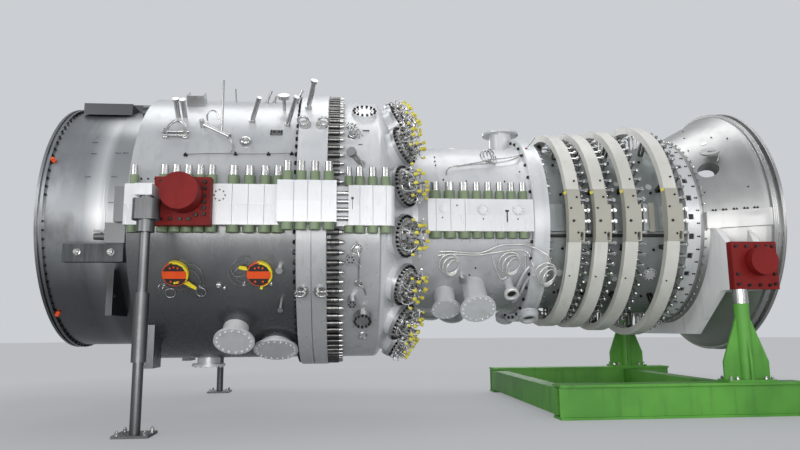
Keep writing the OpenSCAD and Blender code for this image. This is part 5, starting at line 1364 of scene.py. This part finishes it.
# %% Joint covers, dowels and slots of the compressor
JOINT_COVER_X = (1.09, 1.73)
joint_covers = [on_side(x, COMPRESSOR_FACE, 0.1, 0.21) for x in JOINT_COVER_X]
joint_covers.append(on_side(0.39, COMPRESSOR_FACE, 0.11, 0.17))
set_parts("joint_covers", ROUND_COVER, both_sides(joint_covers), FLANGE_PAINT)
cover_nuts = []
for x in JOINT_COVER_X:
    cover_nuts += circle_of((x, -COMPRESSOR_FACE - 0.0222, SHAFT + 0.1), stance(0), 0.076, 8, 0.034, 22.5)
set_parts("joint_cover_bolts", HEX_BOLT, both_sides(cover_nuts), FLANGE_PAINT, 1.0)
dowels = [on_side(x, COMPRESSOR_FACE, z, 0.026)
          for x, z in ((0.358, -0.05), (1.087, -0.072), (1.713, -0.068), (0.62, 0.17))]
dowels += [on_barrel(x, a, R_COMPRESSOR, 0.03)
           for x, a in ((0.33, 38.5), (0.33, 43.0), (0.34, 48.5), (1.9, 33), (0.44, 25.5), (0.86, 24.5),
                        (1.58, 24.6), (1.02, -33), (0.92, -38))]
set_parts("compressor_dowels", SOCKET_BOLT, both_sides(dowels), DARK_BOLT)
# Painted shade: a flat black T stands in for the shade inside the slot.
T_SLOT_SHADE = blocks("t_slot", [((-0.011, -0.19, 0), (0.011, 0, 0.004)),
                           ((-0.034, -0.006, 0), (0.034, 0.028, 0.004))], 0.001)
set_parts("t_slots", T_SLOT_SHADE, both_sides([on_side(1.52, COMPRESSOR_FACE, 0.066, 1.0)]), BLACK_RUBBER_AND_PAINTED_SHADE)
top_bosses = [on_top(x, 0, R_COMPRESSOR, 0.16) for x in (0.36, 0.86)]
set_parts("compressor_top_bosses", DOMED_BOSS, top_bosses, FLANGE_PAINT)

# %% [markdown]
# The pipe stubs below are closed for transport. The small one shows a white rim round a dark
# plug, and the one behind the end flange is the same.

# %% Rims and plugs of the pipe stubs
OPEN_RING = template("open_ring", ([(0.28, 0.0), (0.5, 0), (0.5, 0.22), (0.46, 0.26), (0.34, 0.26),
                                    (0.32, 0.24), (0.28, 0.0)], 32))
rims = both_sides([on_barrel(*STUB_NOZZLE, 0.27), on_barrel(*END_STUB, 0.36)])
set_parts("stub_rims", OPEN_RING, rims, FLANGE_PAINT)
PLUG = template("stub_plug", ([(0, 0), (0.31, 0), (0.31, 0.06), (0.27, 0.09), (0, 0.09)], 28))
set_parts("stub_plugs", PLUG, rims, INNER_STEEL)

# %% [markdown]
# Between the setting rings the slate casing carries a light cover plate, round ports, small plugs
# and a few steel rings. A black round bar along each side, under the joint flange, is painted
# shadow. The casing tapers, so each of them asks for its radius at its own station.

# %% Ports of the vane casing and its bar of painted shadow
SHADOW_BAR_LEVEL, SHADOW_BAR_RISE = -0.33, 0.062


def shadow_bar_point(x):
    """Where the bar of painted shadow runs at a station: always at one level, just clear of the casing."""
    radius = vane_radius(x) + SHADOW_BAR_RISE
    return Vector((x, -math.sqrt(radius ** 2 - SHADOW_BAR_LEVEL * SHADOW_BAR_LEVEL), SHAFT + SHADOW_BAR_LEVEL))


# Painted shadow: a black round bar along each side, at one level under the joint flange.
shadow_bars = [([shadow_bar_point(X_VANE + 0.03 + 0.05 * k) for k in range(0, 51, 5)], False)]
set_pipes("vane_casing_tubes", mirrored(shadow_bars), 0.028, BLACK_RUBBER_AND_PAINTED_SHADE, 10)
COVER_PLATE = blocks("cover_plate", [((-0.055, -0.27, 0), (0.055, 0.27, 0.03)),
                                     ((-0.05, -0.2, 0.026), (-0.028, 0.2, 0.05))])
cover_plates = both_sides([on_side(4.235, vane_radius(4.235) + 0.05, 0, 1.0)])
set_parts("vane_cover_plates", COVER_PLATE, cover_plates, CREAM_PAINT)
LARGE_PORTS = ((4.32, -37, 0.25), (3.68, -41, 0.17), (3.16, -43, 0.15))
SMALL_PORTS = ((2.62, -38, 0.14), (4.3, 21, 0.12), (3.7, 24, 0.1), (3.14, 27, 0.1))
ports = [on_barrel(x, a, vane_radius(x), s) for x, a, s in LARGE_PORTS + SMALL_PORTS]
set_parts("vane_casing_ports", ROUND_COVER, both_sides(ports), FLANGE_PAINT)
port_bolts = []
for x, a, s in LARGE_PORTS:
    port_bolts += flange_circle(x, a, vane_radius(x) + s * 0.11, s * 0.42, 10, 0.022)
plugs = [on_barrel(x, a, vane_radius(x), 0.05)
         for x in (2.62, 3.15, 3.7, 4.31) for a in (-20.2, 16.5, 44, -56)]
plugs += [on_barrel(4.27, -33.1, vane_radius(4.27), 0.045)]
set_parts("vane_casing_plugs", SOCKET_BOLT, both_sides(port_bolts + plugs), DARK_BOLT)
hooks = [hoop(around(x, a, vane_radius(x) + 0.09), stance(a, 70), 0.055)
         for x, a in ((3.03, -45.0), (3.52, -45.4), (4.15, -52.5), (2.55, -46))]
set_pipes("vane_casing_rings", mirrored(hooks), 0.009, MACHINED_STEEL, 8, 2)

# %% [markdown]
# The inlet bell has an open manhole, a row of dowels beside its split and fine turned lines on
# the rim. The manhole's lid is a plain disc on a bent arm. It stands clear of the opening, so
# that a hand and a lamp can go in.

# %% The lid, dowels and rim lines of the inlet bell


def bell_face(x):
    """The outer radius of the bell's cone at a station."""
    return 1.845 + 0.465 * (x - X_BELL - 0.06) / 0.85


def lid(form):
    lathe(form, [(0, 0), (0.155, 0), (0.165, 0.008), (0.165, 0.034), (0.155, 0.042), (0, 0.042)], 40)
    stub(form, 0.035, 0.04, 0.06, 14)


CONE_LEAN = -28.7
LID_X, LID_ANGLE, LID_RISE = X_BELL + 0.33, 35.2, 0.13
lid_seat = around(LID_X, LID_ANGLE, bell_face(LID_X) + LID_RISE)
lids = both_sides([mark(lid_seat, stance(58, -14), 1.0)])
set_parts("manhole_lids", shape_of("manhole_lid", lid), lids[:1], BELL_METAL)
set_parts("manhole_lids_far", shape_of("manhole_lid_far", lid), lids[1:], BELL_METAL)
hinge = bell_face(X_BELL + 0.4)
arm = [around(X_BELL + dx, angle, hinge + height)
       for dx, angle, height in ((0.46, 31.5, 0.02), (0.47, 33.5, 0.12), (0.4, LID_ANGLE, 0.16),
                                 (0.33, LID_ANGLE, LID_RISE))]
set_pipes("manhole_lid_arms", mirrored([(arm, False)]), 0.014, MACHINED_STEEL)
cone_dowels = [on_barrel(X_BELL + dx, a, bell_face(X_BELL + dx), 0.026, CONE_LEAN)
               for dx, a in ((0.12, 14), (0.75, 13), (0.78, 44), (0.6, 50), (0.16, 47), (0.7, -20),
                             (0.3, 62), (0.5, 75))]
set_parts("bell_dowels", SOCKET_BOLT, both_sides(cone_dowels), DARK_BOLT)
PLAQUE = blocks("bell_plaque", [((-0.05, -0.03, 0), (0.05, 0.03, 0.006))], 0.002)
plaques = both_sides([on_barrel(X_BELL + 0.43, 47.2, bell_face(X_BELL + 0.43), 1.0, CONE_LEAN)])
set_parts("bell_plaques", PLAQUE, plaques, MACHINED_STEEL)
rim_lines = [hoop((RIM_X + dx, 0, SHAFT), stance(0, 90), radius, 128)
             for dx, radius in ((0.012, R_RIM - 0.01), (0.045, R_RIM - 0.01), (0.078, R_RIM - 0.01),
                                (-0.004, R_RIM - 0.06), (0.184, R_RIM), (0.215, R_RIM))]
set_pipes("bell_rim_lines", rim_lines, 0.0045, MACHINED_STEEL, 6, 1)

# %% [markdown]
# The pockets round the strut casing look almost black. A small black bevelled block sits in each, a
# little lower than the casing's face: painted shade standing in for the shade deep in the pocket.

# %% Painted shade in the pockets of the strut casing
POCKETS = 32
POCKET_SHADE_BLOCK = blocks("pocket_liner", [((-0.046, -0.046, 0), (0.046, 0.046, 0.088))])
shade_blocks = [on_barrel(X_STRUT + 0.07, 360 * k / POCKETS, R_STRUT - 0.1199, 1.0) for k in range(POCKETS)]
set_parts("pocket_liners", POCKET_SHADE_BLOCK, shade_blocks, BLACK_RUBBER_AND_PAINTED_SHADE)

# %% [markdown]
# The yellow caps are push-on plastic with a ribbed skirt, wider than the stem they close. Seven
# short side branches bend out of the ring pipe: four have a yellow cap and three a steel plug,
# so the heads bristle with them.

# %% Yellow caps and side branches of the burners
CAP_SKIRT = template("cap_skirt", ([(0, 0), (0.42, 0), (0.5, 0.05), (0.5, 0.3), (0.44, 0.36), (0.44, 0.52),
                                    (0.5, 0.58), (0.5, 0.84), (0.42, 0.92), (0, 0.92)], 12))
BRANCH_TIP = 0.345
branch_angles = [12, 57, 123, 168, 237, 282, 327]
branch_ends = [mark(polar(BRANCH_TIP, a, 0.405), UPRIGHT, 0.05) for a in branch_angles]
skirts = on_stems(stem_angles, STEM_TOP - 0.006, 0.0625) + branch_ends[::2]
set_parts("branch_plugs", UNION, at_burners(branch_ends[1::2]), BRIGHT_NUT, 1.0)
set_parts("cap_skirts", CAP_SKIRT, at_burners(skirts), YELLOW_PLASTIC, 1.0)
branches, bundles = [], []
for seat, turn in burner_seats:
    for a in branch_angles:
        branches.append(burner_path(seat, turn, [(0.247, a, 0.385), (0.3, a, 0.376), (0.338, a, 0.385),
                                                 (BRANCH_TIP, a, 0.41)]))
    for a in (33, 147, 213, 303):
        bundles.append(burner_path(seat, turn, [(0.3, a, 0.272), (0.33, a + 6, 0.33), (0.27, a + 16, 0.43),
                                                (0.16, a + 22, 0.45), (0.09, a + 10, 0.42)]))
set_pipes("burner_branches", branches, 0.011, MACHINED_STEEL, 7, 3)
set_pipes("burner_bundles", bundles, 0.0075, WHITE_PAINT, 6, 3)
foot_nuts = head_circle(RING_FACE, 0.262, 24, 0.024, 4) + head_circle(RING_FACE, 0.176, 14, 0.026, 11)
foot_nuts += head_circle(CENTRE_FACE, 0.1, 10, 0.022)
set_parts("burner_foot_nuts", NUT_ON_STUD, at_burners(foot_nuts), BRIGHT_NUT, 1.0)

# %% Remove the shapes that were only copied from
for shape in FORMS:
    bpy.data.objects.remove(shape)
print("template shapes removed:", len(FORMS))
